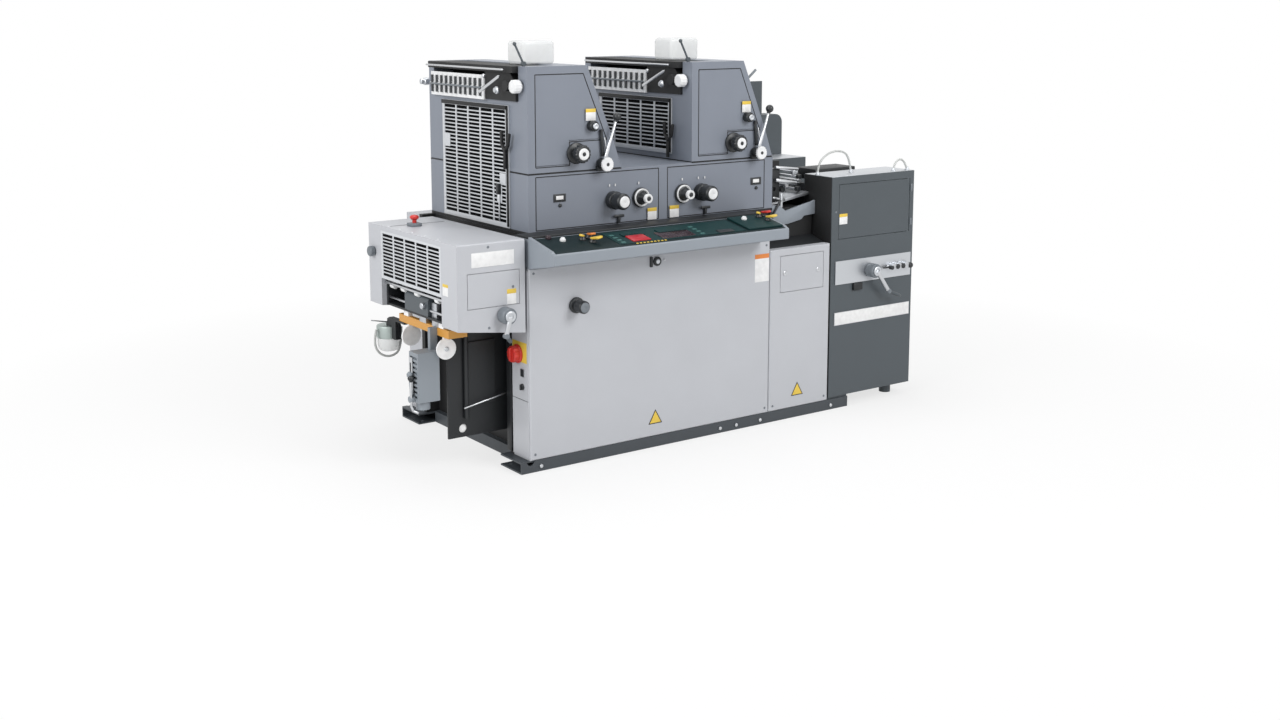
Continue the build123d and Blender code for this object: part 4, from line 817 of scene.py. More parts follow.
left_paddles = ((192, 112, (18, 20), -60, yellow_plastic),
                (226, 122, (24, 30), 10, orange_plastic),
                (214, 78, (34, 36), 28, yellow_plastic))
right_paddles = ((1040, 130, (18, 20), -60, yellow_plastic),
                 (1066, 138, (26, 34), 20, red_plastic),
                 (1048, 84, (34, 36), 28, yellow_plastic))
for side, raised, paddles in (("left", 0, left_paddles), ("right", 8, right_paddles)):
    for number, (x, along, size, turn, finish) in enumerate(paddles):
        boot = paddle_lever(f"lever_{side}_{number}", x, along, raised, size, turn, finish)
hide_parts("console_levers")
print("console slope", round(math.degrees(slope_angle), 1), "degrees")

# %% [markdown]
# Screws, locks and plain labels are small, but they tell the eye how large the covers are.
# One screw is modelled, and copied to the corners of the covers.

# %% Screws and locks
first_screw = turned("cover_screw", (20, 0, 66), FRONT, [(5, -0.5), (5, 0.8), (3.5, 1.8)], grey_nylon,
                     sides=24, soften=0.3)
corner_places = ((20, 742), (1121, 66), (1121, 742), (1164, 66), (1448, 66), (-166, 857), (-166, 566),
                 (1942, 905), (1499, 845), (-66, 705))
for number, (x, z) in enumerate(corner_places, start=1):
    copy_of(first_screw, f"cover_screw_{number}", spot(x, 0, z) - spot(20, 0, 66))

lock_rings = [(10, -0.5), (10, 2), (8, 3.5), (3, 3.5), (3, 2)]
first_lock = turned("door_lock", (1221, 0, 616), FRONT, lock_rings, bright_steel, sides=28, soften=0.4)
copy_of(first_lock, "door_lock_right", spot(1402, 0, 614) - spot(1221, 0, 616))
rail_bolt = turned("rail_bolt", (44, 0, 20), FRONT, [(8, -0.5), (8, 4), (6.5, 6)], bright_steel,
                   sides=6, soften=0.3)
for number, x in enumerate((887, 970, 1096, 1487), start=1):
    copy_of(rail_bolt, f"rail_bolt_{number}", spot(x, 0, 20) - spot(44, 0, 20))
turned("cover_latch", (572, 0, 732), FRONT, [(18, -0.5), (18, 6), (15, 8), (10, 8), (10, 6)],
       black_phenolic, sides=36, soften=0.8)
turned("cover_latch_core", (572, 0, 732), FRONT, [(9, 5), (9, 9), (7, 10)], satin_aluminium, sides=28,
       soften=0.4)
plate("cover_latch_bar", (538, -7, 712), (550, 0.5, 752), black_phenolic, soften=2)
turned("cover_latch_stud", (608, 0, 734), FRONT, [(4, -0.5), (4, 3), (3, 4)], bright_steel, sides=20,
       soften=0.4)
print("screws", len(corner_places) + 1)

# %% [markdown]
# The labels are printed film. They stay plain here: a white field with a coloured band on top,
# and a yellow triangle with a dark rim. The film is 0.6 mm thick, so that it catches light.

# %% Labels
FILM = 0.6
DOOR_FACE = UNIT_FACE - 6        # the doors stand 6 mm proud of the printing units


def label(name, x, z, y=0, band=yellow_plastic, share=0.3, body="press"):
    """A white film label with a coloured band along its top."""
    split = z[1] - (z[1] - z[0]) * share
    plate(f"{name}_field", (x[0], y - FILM, z[0]), (x[1], y + 0.3, split), white_film, body, 0.2)
    plate(f"{name}_band", (x[0], y - FILM, split), (x[1], y + 0.3, z[1]), band, body, 0.2)


def triangle(name, x, z, width):
    """A yellow triangle on a dark rim, both three-sided discs with a corner upwards."""
    for part, size, rise, finish in (("rim", 1.0, FILM, black_phenolic),
                                     ("field", 0.8, 2 * FILM, yellow_plastic)):
        radius = width / math.sqrt(3) * size
        deselect()
        bpy.ops.mesh.primitive_cylinder_add(vertices=3, radius=radius * MM, depth=2 * rise * MM,
                                            location=spot(x, 0, z), rotation=(math.radians(90), 0, 0))
        complete(f"{name}_{part}", finish, soften=0.15)


label("cover_label", (1061, 1135), (595, 708), band=orange_plastic, share=0.16)
label("hood_label", (-91, -53), (642, 697), share=0.3)
label("feeder_label", (1519, 1564), (791, 835), body="feeder_door")
label("door_label_left", (589, 632), (880, 926), DOOR_FACE)
label("door_label_right", (695, 740), (880, 927), DOOR_FACE)
label("tower_label_1", (306, 350), (1275, 1319), DOOR_FACE)
label("tower_label_2", (306 + TOWER_PITCH, 350 + TOWER_PITCH), (1275, 1319), DOOR_FACE)
triangle("cover_triangle", 566, 112, 66)
triangle("side_triangle", 1297, 112, 66)
print("labels are", FILM, "mm film")

# %% [markdown]
# The plates on the hood and the feeder stay bare, in white film over thin sheet.

# %% Bare plates
plate("hood_plate", (-234, -2, 788), (-61, 0.3, 840), white_film, soften=0.8)
plate("feeder_plate", (1499, -4.2, 363), (1939, -2.5, 415), white_film, soften=0.6)
print("two bare plates")

# %% [markdown]
# The main switch sits on the narrow end of the front cover: a red fluted knob with a bar to
# turn it by, on a yellow plate. Under it are a rocker and a small selector. The flutes are cut
# by drawing every second strip of the knob's side inwards.

# %% Main switch
PANEL_X = box_mm("switch_panel")[0][0]
SWITCH_PLACE = (75, 437)
plate("switch_plate", (PANEL_X + 2, 14, 408), (PANEL_X + 4, 114, 484), yellow_plastic, soften=0.5)
switch_foot = spot(PANEL_X + 2, *SWITCH_PLACE)
switch_knob = turned("main_switch_knob", switch_foot, LEFT, [(35, 0.3), (35, 5), (31, 8), (31, 26),
                     (28, 30)], red_plastic, "main_switch", sides=48, soften=0)
flute(switch_knob, switch_foot, LEFT, 6, 40, 12, 0.12)
plate("main_switch_bar", (PANEL_X - 36, 70, 412), (PANEL_X - 26, 80, 462), red_plastic, "main_switch",
      soften=3)
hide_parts("main_switch")
plate("rocker_switch", (PANEL_X - 3, 30, 356), (PANEL_X + 1, 52, 385), black_phenolic, soften=2)
turned("selector_knob", (PANEL_X, 40, 318), LEFT, [(12, -1), (12, 3), (10, 5)], black_phenolic,
       sides=28)
plate("selector_bar", (PANEL_X - 12, 36, 307), (PANEL_X - 4, 44, 329), black_phenolic, soften=2)
plate("strip_seam", (PANEL_X + 2.6, 6, 266), (PANEL_X + 3.4, 116, 268), black_phenolic, soften=0.1)
plate("side_frame_end", (PANEL_X - 1.5, 121, 55), (PANEL_X + 6, 153, 485), black_enamel, soften=1)
print("main switch at", SWITCH_PLACE)

# %% [markdown]
# Two hand cranks, on the delivery and on the feeder, have a grey hub, a steel arm and a folded
# grip. One function models both, since the arm only leans the other way.

# %% Hand cranks


def hand_crank(body, hub, tip, grip, face=0.3):
    """A crank with a folded grip: places of hub, arm's end and grip's end in mm across and up."""
    places = ((hub, 0), (tip, 40), (grip, 40))
    foot, end, far = (spot(x, -face, z) + FRONT * out * MM for (x, z), out in places)
    base = turned(f"{body}_hub", foot, FRONT, [(28, 0), (30, 3), (30, 40), (27, 44)], grey_nylon, body)
    turned(f"{body}_cap", foot, FRONT, [(21, 43), (21, 50), (18, 52), (10, 52), (10, 49)],
           satin_aluminium, body, sides=28)
    arm_foot = foot + FRONT * 46 * MM
    rod(f"{body}_arm", arm_foot, end, 9, bright_steel, body, sides=24)
    turned(f"{body}_eye", end - FRONT * 10 * MM, FRONT, [(9, 0), (10, 1), (10, 19), (9, 20)],
           grey_nylon, body, sides=28)
    along = (far - end).normalized()
    length = (far - end).length / MM
    turned(f"{body}_grip", end, along, [(4, 6), (4, length * 0.2), (6.5, length * 0.28),
           (8, length * 0.6), (7, length * 0.94), (4, length)], feeder_enamel, body, sides=28,
           soften=0.8)
    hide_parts(body)


hand_crank("delivery_crank", (-105, 607), (-120, 537), (-100, 512))
hand_crank("feeder_crank", (1696, 582), (1771, 488), (1844, 458), face=5.3)
print("two hand cranks")

# %% [markdown]
# The delivery end: a slotted guard, knobs, the stop button, rods with small white rollers for
# the sheets, and hubs for the two nylon discs that jog the stack. The dark strip on top is
# painted shade in the seam that parts the hood from its lid.

# %% Delivery end
HOOD_END = box_mm("delivery_guard")[0][0]
HOOD_TOP = box_mm("delivery_hood")[1][2]
stop_low, stop_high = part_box("stop_button")
stop_foot = Vector(((stop_low[0] + stop_high[0]) / 2, (stop_low[1] + stop_high[1]) / 2, HOOD_TOP * MM))
stop_cap = turned("stop_button_cap", stop_foot, UP, [(8, 12), (8, 24), (14, 27), (17, 31), (17, 37),
                  (13, 41), (6, 43)], red_plastic, soften=1.0)
plate("stop_button_base", stop_foot + Vector((-22, -22, 0)) * MM, stop_foot + Vector((22, 22, 13)) * MM,
      grey_nylon, soften=3)
grille = slotted_panel("delivery_grille", (HOOD_END, HOOD_END + 6), (117, 597), (671, 855),
                       (12, 14, 12, 10), 5, 12.8)
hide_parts("delivery_guard")
plate("end_label_field", (HOOD_END - 0.6, 66, 682), (HOOD_END + 0.3, 106, 713), white_film, soften=0.2)
plate("end_label_band", (HOOD_END - 0.6, 66, 713), (HOOD_END + 0.3, 106, 724), yellow_plastic,
      soften=0.2)
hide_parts("stop_button")
# Painted shade: a dark strip along the seam between the hood and its lid.
plate("hood_seam", (-272, 549, HOOD_TOP - 0.5), (-43, 553, HOOD_TOP + 0.6), black_phenolic, soften=0.1)
for number, y in enumerate((160, 260, 360, 460, 552)):
    turned(f"hood_screw_{number}", (-278, y, HOOD_TOP), UP, [(5, -0.5), (5, 1), (3.5, 2)], bright_steel,
           sides=16, soften=0.3)
turned("hood_end_knob", (HOOD_END + 6, 655, 768), LEFT, [(18, -0.5), (18, 6), (14, 8),
                  (20, 12), (20, 26), (17, 29)], grey_nylon, sides=32)
turned("brake_knob", (HOOD_END + 20, 286, 612), LEFT, [(12, -0.5), (12, 14), (9, 16),
                    (5, 16)], satin_aluminium, sides=28)
rod("hood_rod", (-276, 130, 655), (-276, 590, 655), 6, bright_steel)
rod("hood_rod_low", (-262, 130, 596), (-262, 590, 596), 5, bright_steel)
white_roller = turned("sheet_roller", (-266, 172, 648), Vector((0, 1, 0)), [(10, 0), (13, 2), (13, 26),
                      (10, 28)], white_nylon, sides=28)
for number, y in enumerate((330, 440, 530), start=1):
    copy_of(white_roller, f"sheet_roller_{number}", Vector((0, (y - 172) * MM, 0)))
plate("hanger_block_near", (-262, 214, 541), (-236, 252, 628), satin_aluminium, soften=2)
plate("hanger_block_far", (-262, 300, 541), (-236, 350, 628), satin_aluminium, soften=2)

DISC_RADIUS, DISC_THICKNESS = 39, 10      # mm, the nylon discs
disc_low, disc_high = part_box("jogger_wheels")
disc_x = (disc_low[0] + disc_high[0]) / 2
for number, y in enumerate((disc_low[1], disc_high[1] - DISC_THICKNESS * MM), start=1):
    hub_place = Vector((disc_x, y, disc_low[2] + DISC_RADIUS * MM))
    turned(f"jogger_hub_{number}", hub_place, FRONT, [(9, -4), (9, 2), (6, 4), (3, 4)], satin_aluminium,
           sides=24)
turned("plate_hole_disc", (-174, 197.6, 154), FRONT, [(17, 0), (17, 1.5), (15, 2)], nylon_with_painted_light,
       sides=36, soften=0.2)
rod("bay_link_rod", (-184, 162, 238), (8, 162, 272), 3, bright_steel, sides=16)
print("delivery end at", HOOD_END, "mm")

# %% [markdown]
# The spray jar is a blow-moulded bottle under a metal lid. It is turned with a rounded base,
# and stays milky. The lift gearbox beside it gets its bent lever and a bright scale.

# %% Spray jar and lift gearbox
jar_low, jar_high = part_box("spray_jar")
jar_foot = Vector(((jar_low[0] + jar_high[0]) / 2, (jar_low[1] + jar_high[1]) / 2, jar_low[2]))
jar = turned("spray_jar_body", jar_foot, UP, [(26, 0), (34, 3), (40, 10), (44, 22), (45, 36), (45, 84),
             (45, 86)], milky_polyethylene, sides=56, soften=0)
turned("spray_jar_lid", jar_foot, UP, [(46, 52), (47.5, 54), (47.5, 98), (45, 101)], jar_metal,
       sides=56)
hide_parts("spray_jar")
turned("jar_outlet", jar_foot + Vector((0, 0, 100)) * MM, UP, [(9, 0), (9, 12), (6, 14), (6, 26)],
       black_phenolic, sides=24)
rod("jar_lever", jar_foot + Vector((-4, 0, 112)) * MM, jar_foot + Vector((-74, 0, 126)) * MM, 2.5,
    bright_steel, sides=14)

LEVER_X = -370
lever_top = spot(LEVER_X, 216, 360)
lever_bend = spot(LEVER_X, 216, 262), spot(LEVER_X + 6, 214, 246), spot(LEVER_X + 24, 210, 236)
rod("gear_lever_rod", lever_bend[0], lever_top, 4.5, bright_steel)
rod("gear_lever_bend", lever_bend[0], lever_bend[1], 4.5, bright_steel)
rod("gear_lever_foot", lever_bend[1], lever_bend[2], 4.5, bright_steel)
ball("gear_lever_ball", lever_top + UP * 8 * MM, 12, black_phenolic)
plate("gear_scale", (-358.6, 226, 280), (-356.5, 252, 440), bright_steel, soften=0.6)
plate("gear_scale_slot", (-359.6, 236, 300), (-358.2, 243, 420), black_phenolic)
print("jar foot", [round(c, 3) for c in jar_foot])

# %% [markdown]
# The feeder's cabinets are dark grey in front, and a near-black plate covers the side that
# faces the press. Their tops are bright plates. A strip across the front carries the crank and
# four small valve knobs.

# %% Feeder details
(FEEDER_LEFT, _, _), (_, _, FEEDER_TOP) = box_mm("feeder_cabinet_front")
for name, near, far in (("front", 2, 171), ("rear", 702, 871)):
    plate(f"feeder_top_{name}", (FEEDER_LEFT + 2, near, FEEDER_TOP - 1), (1953, far, FEEDER_TOP + 1.2),
          satin_aluminium, soften=0.6)
    plate(f"feeder_side_{name}", (FEEDER_LEFT - 0.9, near + 1, 56),
          (FEEDER_LEFT + 1, far, FEEDER_TOP - 1), black_and_painted_shade, soften=0.4)
plate("feeder_head_bar", (1565, 205, 955), (1800, 330, FEEDER_TOP + 10), black_enamel, soften=3)


def valve_knob(name, x, z, radius):
    """A small black knob on a short steel neck, on the feeder's strip."""
    turned(name, (x, -3, z), FRONT, [(radius * 0.5, -3), (radius * 0.5, 12), (radius, 14), (radius, 30),
           (radius * 0.8, 33)], black_phenolic, sides=28)
    turned(f"{name}_neck", (x, -3, z), FRONT, [(radius * 0.9, -1), (radius * 0.9, 4),
           (radius * 0.7, 6)], bright_steel, sides=28)


valves = ((1806, 583, 9), (1840, 585, 11), (1872, 585, 11), (1917, 583, 12))
for number, (x, z, radius) in enumerate(valves, start=1):
    valve_knob(f"valve_knob_{number}", x, z, radius)
rod("valve_rod", (1770, -14, 584), (1840, -14, 585), 3.5, black_phenolic)
plate("strip_catch", (1600, -12, 502), (1652, -0.5, 534), black_enamel, soften=4)
plate("door_hinge_top", (1934, -4, 905), (1944, 0.5, 935), grey_nylon, soften=1.2)
plate("door_hinge_low", (1934, -4, 755), (1944, 0.5, 785), grey_nylon, soften=1.2)
fitting_rings = [(10, -2), (10, 5), (7, 6), (7, 12), (5.6, 13)]
for number, (x, y) in enumerate(((1483, 100), (1674, 100), (1858, 30), (1941, 30)), start=1):
    turned(f"hose_socket_{number}", (x, y, FEEDER_TOP + 1), UP, fitting_rings, satin_aluminium,
           sides=24, soften=0.4)
print("feeder from", FEEDER_LEFT, "mm, top", FEEDER_TOP)

# %% [markdown]
# Each tower has a slotted guard with a forked black handle, and above it the ink fountain with
# its row of ink keys. The latch and three pale patches lie on the first guard only. The
# fountain is modelled on the first tower and copied to the second.

# %% Guards and ink fountains
GUARD_SHEET = 50.7        # mm from the cover's left end to the first guard's outer face
FOUNTAIN_FACE = 11        # mm from that end to the first ink fountain's end face


def guard_fittings(number, foot):
    """A guard's forked handle, its seals, and the black sheet of painted shade behind its slots. They swing
    with it.
    """
    shift = (number - 1) * TOWER_PITCH
    body = f"guard_{number}"
    face = GUARD_SHEET + shift
    x = face - 12
    knots = [spot(x, y, z) for y, z in ((223, 1100), (223, 1166), (200, 1188), (190, 1232), (243, 1190),
                                        (247, 1240))]
    for step, (start, end) in enumerate(((0, 1), (1, 2), (2, 3), (1, 4), (4, 5))):
        rod(f"{body}_fork_{step}", knots[start], knots[end], 6.5, black_and_painted_shade, body)
    plate(f"{body}_seal_top", (face - 5, 218, 1318), (face + 0.5, 724, 1333), black_and_painted_shade, body,
          soften=1)
    plate(f"{body}_seal_near", (face - 5, 217.5, foot + 6), (face + 0.5, 227, 1333), black_and_painted_shade, body,
          soften=1)
    bars = slotted_panel(body, (face, face + 6), (217, 725), (foot, 1334), (22, 16, 18, 18), 5, 14.4, body)
    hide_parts(body)


guard_fittings(1, 877.3)
guard_fittings(2, 1112.3)
plate("guard_1_latch", (GUARD_SHEET - 16, 272, 1000), (GUARD_SHEET - 0.5, 288, 1040), black_phenolic,
      "guard_1", soften=3)
rod("guard_1_latch_rod", (GUARD_SHEET - 5, 280, 900), (GUARD_SHEET - 5, 280, 1004), 3, bright_steel,
    "guard_1", sides=16)
patches = (("far", (664, 712), 1176, 52), ("near", (240, 282), 1058, 44), ("low", (268, 304), 1000, 66))
for name, y, z, tall in patches:
    plate(f"guard_1_patch_{name}", (GUARD_SHEET - 1, y[0], z - tall / 2),
          (GUARD_SHEET + 1, y[1], z + tall / 2), guard_enamel, "guard_1")

fountain_knob = turned("fountain_knob_1", (57, 131, 1408), LEFT, [(12, -2), (12, 6), (22, 8), (25, 12),
                       (25, 36), (22, 40), (6, 40)], white_nylon, sides=48, soften=0)
flute(fountain_knob, spot(57, 131, 1408), LEFT, 7, 41, 12, 0.06)
roller_end = turned("fountain_roller_end_1", (60, 856, 1397), LEFT, [(15, 0), (15, 18),
                    (11, 22), (11, 34), (7, 36)], satin_aluminium, sides=32)
(KEY_FACE, KEY_FRONT, _), (_, key_back, _) = box_mm("ink_key_plates")
KEY_PITCH = (key_back - KEY_FRONT) / 11
ink_keys = []
for number in range(11):
    y = KEY_FRONT + (number + 0.5) * KEY_PITCH
    ink_keys.append(plate(f"ink_key_1_{number}", (KEY_FACE - 0.7, y - 6.5, 1362),
                 (KEY_FACE + 4, y + 6.5, 1428), key_black))
key_rod = rod("ink_key_rod_1", (KEY_FACE - 2, KEY_FRONT + 4, 1394), (KEY_FACE - 2, 786, 1394), 3.5,
              grey_nylon, sides=16)
# A bright steel strip along the fountain end: partly its ink-key lever, partly a painted highlight for the
# diagonal glint on the black casting.
lever_and_highlight_outline = ((356, 1384), (350, 1375), (206, 1437), (202, 1446), (212, 1447))
lever_and_highlight = profiled("ink_key_lever_1", [spot(FOUNTAIN_FACE - 1, y, z) for y, z in lever_and_highlight_outline], 4,
                     bright_steel, soften=0.8)
fountain_stud = turned("fountain_stud_1", (FOUNTAIN_FACE, 226, 1392), LEFT, [(14, -2), (14, 4), (9, 6),
                       (9, 12), (5, 12)], satin_aluminium, sides=28)
fountain_bolt = turned("fountain_bolt_1", (FOUNTAIN_FACE, 320, 1440), LEFT, [(8, -2), (8, 5), (6, 7)],
                       bright_steel, sides=24)
fountain_rod = rod("fountain_rod_1", (8, 180, 1468), (8, 770, 1468), 3.5, bright_steel, sides=16)
for piece in (fountain_knob, roller_end, key_rod, lever_and_highlight, fountain_stud, fountain_bolt, fountain_rod,
              *ink_keys):
    twice(piece)
print("ink keys", len(ink_keys), "to a tower,", round(KEY_PITCH, 1), "mm apart")

# %% [markdown]
# Small black parts stand between the dial and the throw lever. The doors get their sight
# windows, tee handles and white tick marks.

# %% Small parts on the towers and doors
link = rod("throw_link_1", (373, UNIT_FACE - 8, 1240), (380, UNIT_FACE - 8, 1140), 6.5, black_phenolic)
stop_block = plate("throw_stop_1", (352, UNIT_FACE - 14, 1084), (398, UNIT_FACE - 0.5, 1104),
                   black_phenolic, soften=3)
light_link = rod("throw_fork_1", (386, UNIT_FACE - 10, 1210), (404, UNIT_FACE - 10, 1120), 3,
                 bright_steel)
for piece in (link, stop_block, light_link):
    twice(piece)

for name, x, height in (("left", 191, 995), ("right", 1135, 993)):
    plate(f"window_frame_{name}", (x - 27, UNIT_FACE - 2.6, height - 15),
          (x + 27, UNIT_FACE - 0.2, height + 15), black_phenolic, soften=1.2)
    plate(f"window_glass_{name}", (x - 16, UNIT_FACE - 3.2, height - 6),
          (x + 16, UNIT_FACE - 2, height + 8), white_film, soften=0.5)
    turned(f"window_stud_{name}", (x + 2, UNIT_FACE, height - 28), FRONT, [(7, -0.5), (7, 4), (5, 6)],
           black_phenolic, sides=24)
for name, x in (("left", 453), ("right", 870)):
    plate(f"tee_bar_{name}", (x - 24, UNIT_FACE - 15, 902), (x + 22, UNIT_FACE - 7, 913),
          black_phenolic, soften=3)
    plate(f"tee_stem_{name}", (x - 5, UNIT_FACE - 13, 880), (x + 5, UNIT_FACE, 906), black_phenolic,
          soften=2)
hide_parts("door_fittings")
tick = plate("door_tick", (410, UNIT_FACE - 6.6, 1022), (414, UNIT_FACE - 5.7, 1031), white_film,
             soften=0.2)
for number, x in enumerate((436, 545, 754, 834, 866), start=1):
    copy_of(tick, f"door_tick_{number}", Vector(((x - 410) * MM, 0, 0)))
rod("slope_lever", (1107, UNIT_FACE + 30, 1403), (1154, UNIT_FACE + 30, 1441), 5, grey_nylon)
print("small parts on both towers")

# %% [markdown]
# A dark gap shows round each door, and a black rubber seal runs between the towers and the
# lower unit and under that unit. Thin dark beads in the door gaps are painted shade; dark strips
# show the seal.

# %% Seals and door gaps
DOOR_SPLIT = (645.5, 688.5)      # the right edge of the left door, the left edge of the right one
TOWER_DOOR = [(90, 1112), (90, 1450), (299.5, 1450), (403.8, 1200), (237, 1200), (237, 1112)]


def gap_line(name, corners):
    """A dark bead along the outline of a door in the units' front, painted shade in its gap; corners in mm
    across and up.
    """
    beads = []
    for number, (start, end) in enumerate(zip(corners, corners[1:] + corners[:1])):
        beads.append(rod(f"{name}_{number}", (start[0], UNIT_FACE + 0.4, start[1]),
                     (end[0], UNIT_FACE + 0.4, end[1]), 1.9, black_and_painted_shade, sides=8))
    return beads


def box_corners(x0, x1, z0, z1):
    """The four corners of an upright door."""
    return [(x0, z0), (x0, z1), (x1, z1), (x1, z0)]


gap_line("door_gap_left", box_corners(89, DOOR_SPLIT[0], 880, 1077))
gap_line("door_gap_right", box_corners(DOOR_SPLIT[1], 1180, 880, 1077))
for bead in gap_line("tower_gap_1", TOWER_DOOR):
    twice(bead)
tower_seal = plate("tower_seal_1", (56.4, UNIT_FACE - 0.8, 1086), (470, 842.5, 1091), black_and_painted_shade)
twice(tower_seal)
plate("unit_seal", (56.2, UNIT_FACE - 1.4, 865.5), (1224.5, 842, 876), black_and_painted_shade)
print("seals laid")

# %% [markdown]
# A milky bottle of fountain solution stands on each tower. It is blow-moulded, so every edge is
# round: a block gets its edges bevelled wide.

# %% Solution bottles
BOTTLE_FOOT = box_mm("solution_bottles")[0][2]
BOTTLE_ROUND = 14         # mm, the radius of a moulded edge
deselect()
bottle_ends = spot(135, 243, BOTTLE_FOOT), spot(275, 363, BOTTLE_FOOT + 88)
bpy.ops.mesh.primitive_cube_add(size=1, location=(bottle_ends[0] + bottle_ends[1]) / 2)
bottle = bpy.context.object
bottle.scale = bottle_ends[1] - bottle_ends[0]
bpy.ops.object.transform_apply(location=True, scale=True)
rounding = bottle.modifiers.new("rounding", "BEVEL")
rounding.width = BOTTLE_ROUND * MM
rounding.segments = 5
bpy.ops.object.modifier_apply(modifier=rounding.name)
bottle = complete("solution_bottle_1", milky_polyethylene, angle=60)
# The second one stands 36 mm further to the left and 40 mm deeper on its tower.
second_bottle = copy_of(bottle, "solution_bottle_2", tower_shift + Vector((-36, 40, 0)) * MM)
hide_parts("solution_bottles")
print("bottles", bottle.name, second_bottle.name)

# %% [markdown]
# Between the last unit and the feeder lies the feedboard. A cast side plate hangs low in
# front, a bright table slopes down to the press, and rods, rollers and black knobs carry the
# sheets over it. The casting's outline is drawn corner by corner.

# %% Feedboard
BOARD_FRONT = 126
BOARD_BACK = 640
board_left, board_right = 1236, 1474
casting_outline = [(1228, 884), (1236, 850), (1247, 817), (1285, 796), (1325, 799), (1398, 812), (1413, 826),
                   (1474, 830), (1474, 888), (1457, 882), (1380, 868), (1312, 854), (1275, 880)]
casting = profiled("feedboard_casting", [spot(x, BOARD_FRONT - 10, z) for x, z in casting_outline], 14,
                   console_enamel, soften=1.5)
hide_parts("feedboard")
table_outline = [(1240, 872), (1474, 908), (1474, 920), (1240, 884)]
profiled("feed_table", [spot(x, BOARD_BACK, z) for x, z in table_outline],
         BOARD_BACK - BOARD_FRONT - 16, satin_aluminium)
plate("feedboard_back_plate", (board_left, BOARD_BACK, 884), (board_right, BOARD_BACK + 14, 1040),
      black_enamel, soften=2)
plate("feed_beam", (board_left + 4, 330, 912), (board_right - 4, 345, 1036), black_and_painted_shade, soften=2)
plate("feedboard_near_plate", (board_left, BOARD_FRONT + 16, 884),
      (board_left + 74, BOARD_FRONT + 28, 1030), black_enamel, soften=3)
feed_bars = (((1277, 1036), (1400, 1021), 6), ((1277, 983), (1392, 962), 8), ((1262, 910), (1330, 896), 5))
for number, (start, end, radius) in enumerate(feed_bars, start=1):
    rod(f"feed_bar_{number}", (start[0], BOARD_FRONT + 6, start[1]), (end[0], BOARD_FRONT + 6, end[1]),
        radius, bright_steel)
feed_wheels = ((1262, 1012, 12), (1318, 1008, 13), (1420, 1004, 15), (1412, 958, 15), (1446, 982, 11),
               (1290, 946, 10), (1352, 934, 13), (1440, 930, 12))
for number, (x, z, radius) in enumerate(feed_wheels, start=1):
    turned(f"feed_wheel_{number}", (x, BOARD_FRONT + 60, z), FRONT, [(radius * 0.6, 0), (radius, 2),
           (radius, 16), (radius * 0.8, 19), (radius * 0.4, 19)],
           black_phenolic if number % 3 else satin_aluminium, sides=24)
    rod(f"feed_shaft_{number}", (x, BOARD_FRONT + 50, z), (x, BOARD_BACK + 2, z), 4.5, bright_steel,
        sides=16)
rod("feed_lever", (1236, BOARD_FRONT - 30, 846), (1276, BOARD_FRONT - 30, 902), 5, black_phenolic,
    sides=16)
plate("feed_clamp", (1282, BOARD_FRONT - 24, 870), (1294, BOARD_FRONT - 16, 930), satin_aluminium,
      soften=2)
print("feedboard", board_left, "to", board_right)

# %% [markdown]
# A plain pale floor and soft boxes on both sides show the paint as a studio would. To the
# camera and in reflections the floor shines by itself, fully white far out and a little less
# under the machine, so that its shadow stays. None of that light falls on the machine.

# %% Floor and light
bpy.ops.object.select_all(action="DESELECT")
bpy.ops.mesh.primitive_plane_add(size=60, location=(0, 0, -0.001))
floor = bpy.context.object
floor.name = "floor"
floor_material, floor_tree, floor_shader = new_material("studio_floor")
floor_shader.inputs["Base Color"].default_value = colour("#e8e8e8")
floor_shader.inputs["Roughness"].default_value = 0.9
NEAR_SHINE = 0.72         # how much of the floor's look is its own shine, under the machine
floor_ray = add(floor_tree, "ShaderNodeLightPath")
seen = add(floor_tree, "ShaderNodeMath", {"operation": "MAXIMUM"},
           {0: floor_ray.outputs["Is Camera Ray"], 1: floor_ray.outputs["Is Glossy Ray"]})
seen = add(floor_tree, "ShaderNodeMath", {"operation": "MAXIMUM"},
           {0: seen.outputs["Value"], 1: floor_ray.outputs["Is Transmission Ray"]})
floor_place = add(floor_tree, "ShaderNodeTexCoord")
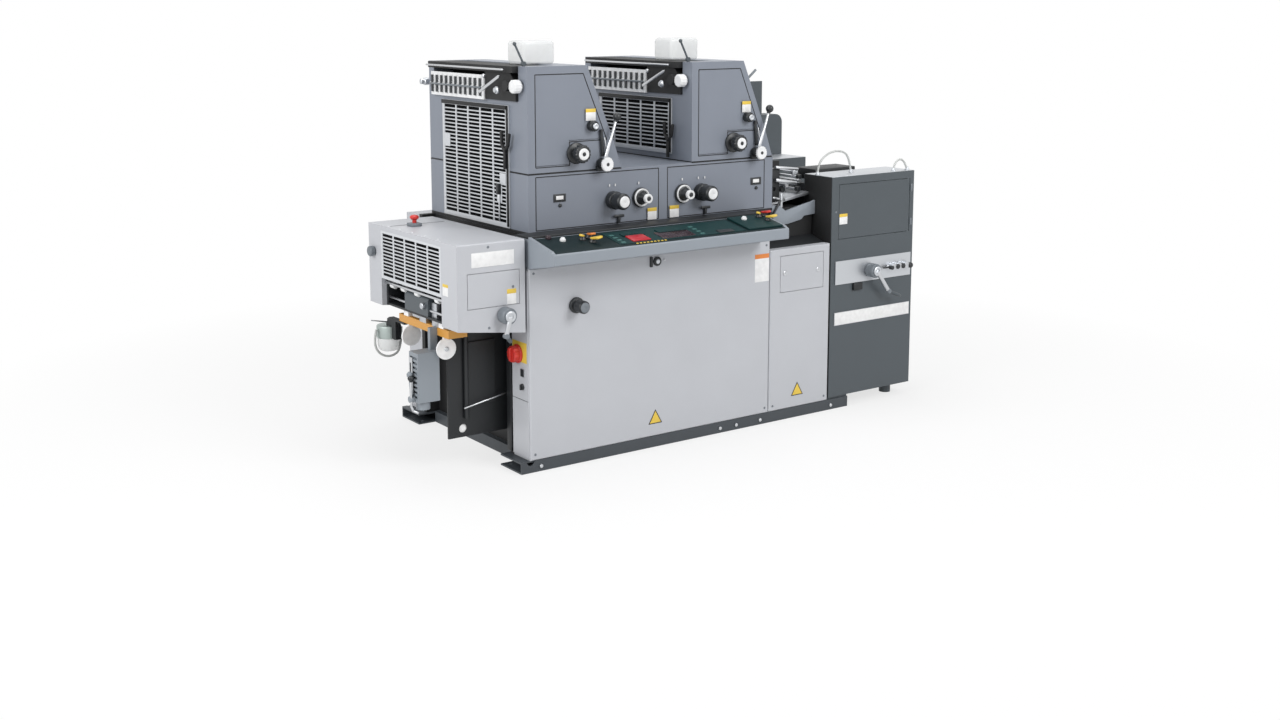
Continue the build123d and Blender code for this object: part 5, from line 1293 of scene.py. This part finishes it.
far_out = add(floor_tree, "ShaderNodeVectorMath", {"operation": "LENGTH"}, {0: floor_place.outputs["Object"]})
shine = ranged(floor_tree, far_out.outputs["Value"], NEAR_SHINE, 1.0, 1.2, 3.2)
shine = add(floor_tree, "ShaderNodeMath", {"operation": "MULTIPLY"}, {0: shine, 1: seen.outputs["Value"]})
glow = add(floor_tree, "ShaderNodeEmission", {"Strength": 1.0})
blend = add(floor_tree, "ShaderNodeMixShader", {},
            {0: shine.outputs["Value"], 1: floor_shader.outputs["BSDF"], 2: glow.outputs["Emission"]})
floor_tree.links.new(blend.outputs["Shader"], floor_tree.nodes["Material Output"].inputs["Surface"])
floor.data.materials.append(floor_material)

world = bpy.data.worlds.new("studio")
bpy.context.scene.world = world
world.use_nodes = True
world_tree = world.node_tree
background = world_tree.nodes["Background"]
background.inputs["Color"].default_value = (1, 1, 1, 1)
ray = add(world_tree, "ShaderNodeLightPath")
clear = add(world_tree, "ShaderNodeMath", {"operation": "MAXIMUM"},
            {0: ray.outputs["Is Camera Ray"], 1: ray.outputs["Is Glossy Ray"]})
clear = add(world_tree, "ShaderNodeMath", {"operation": "MAXIMUM"},
            {0: clear.outputs["Value"], 1: ray.outputs["Is Transmission Ray"]})
wire(world_tree, background, {"Strength": ranged(world_tree, clear.outputs["Value"], 0.40, 1.0)})


def soft_box(name, place, aim, size, power):
    """A square area lamp at place, turned to aim."""
    lamp_data = bpy.data.lights.new(name, "AREA")
    lamp_data.size = size
    lamp_data.energy = power
    lamp = bpy.data.objects.new(name, lamp_data)
    lamp.location = place
    lamp.rotation_euler = (Vector(aim) - Vector(place)).to_track_quat("-Z", "Y").to_euler()
    bpy.context.scene.collection.objects.link(lamp)
    return lamp


soft_box("key_light", (1.5, -5.5, 4.2), (0, 0, 0.7), 3.0, 230)
soft_box("side_light", (-5.0, -1.0, 3.0), (0, 0, 0.8), 2.5, 145)
soft_box("top_light", (0.0, 0.5, 5.0), (0, 0, 0.9), 3.0, 80)
print("floor, world and three soft boxes")
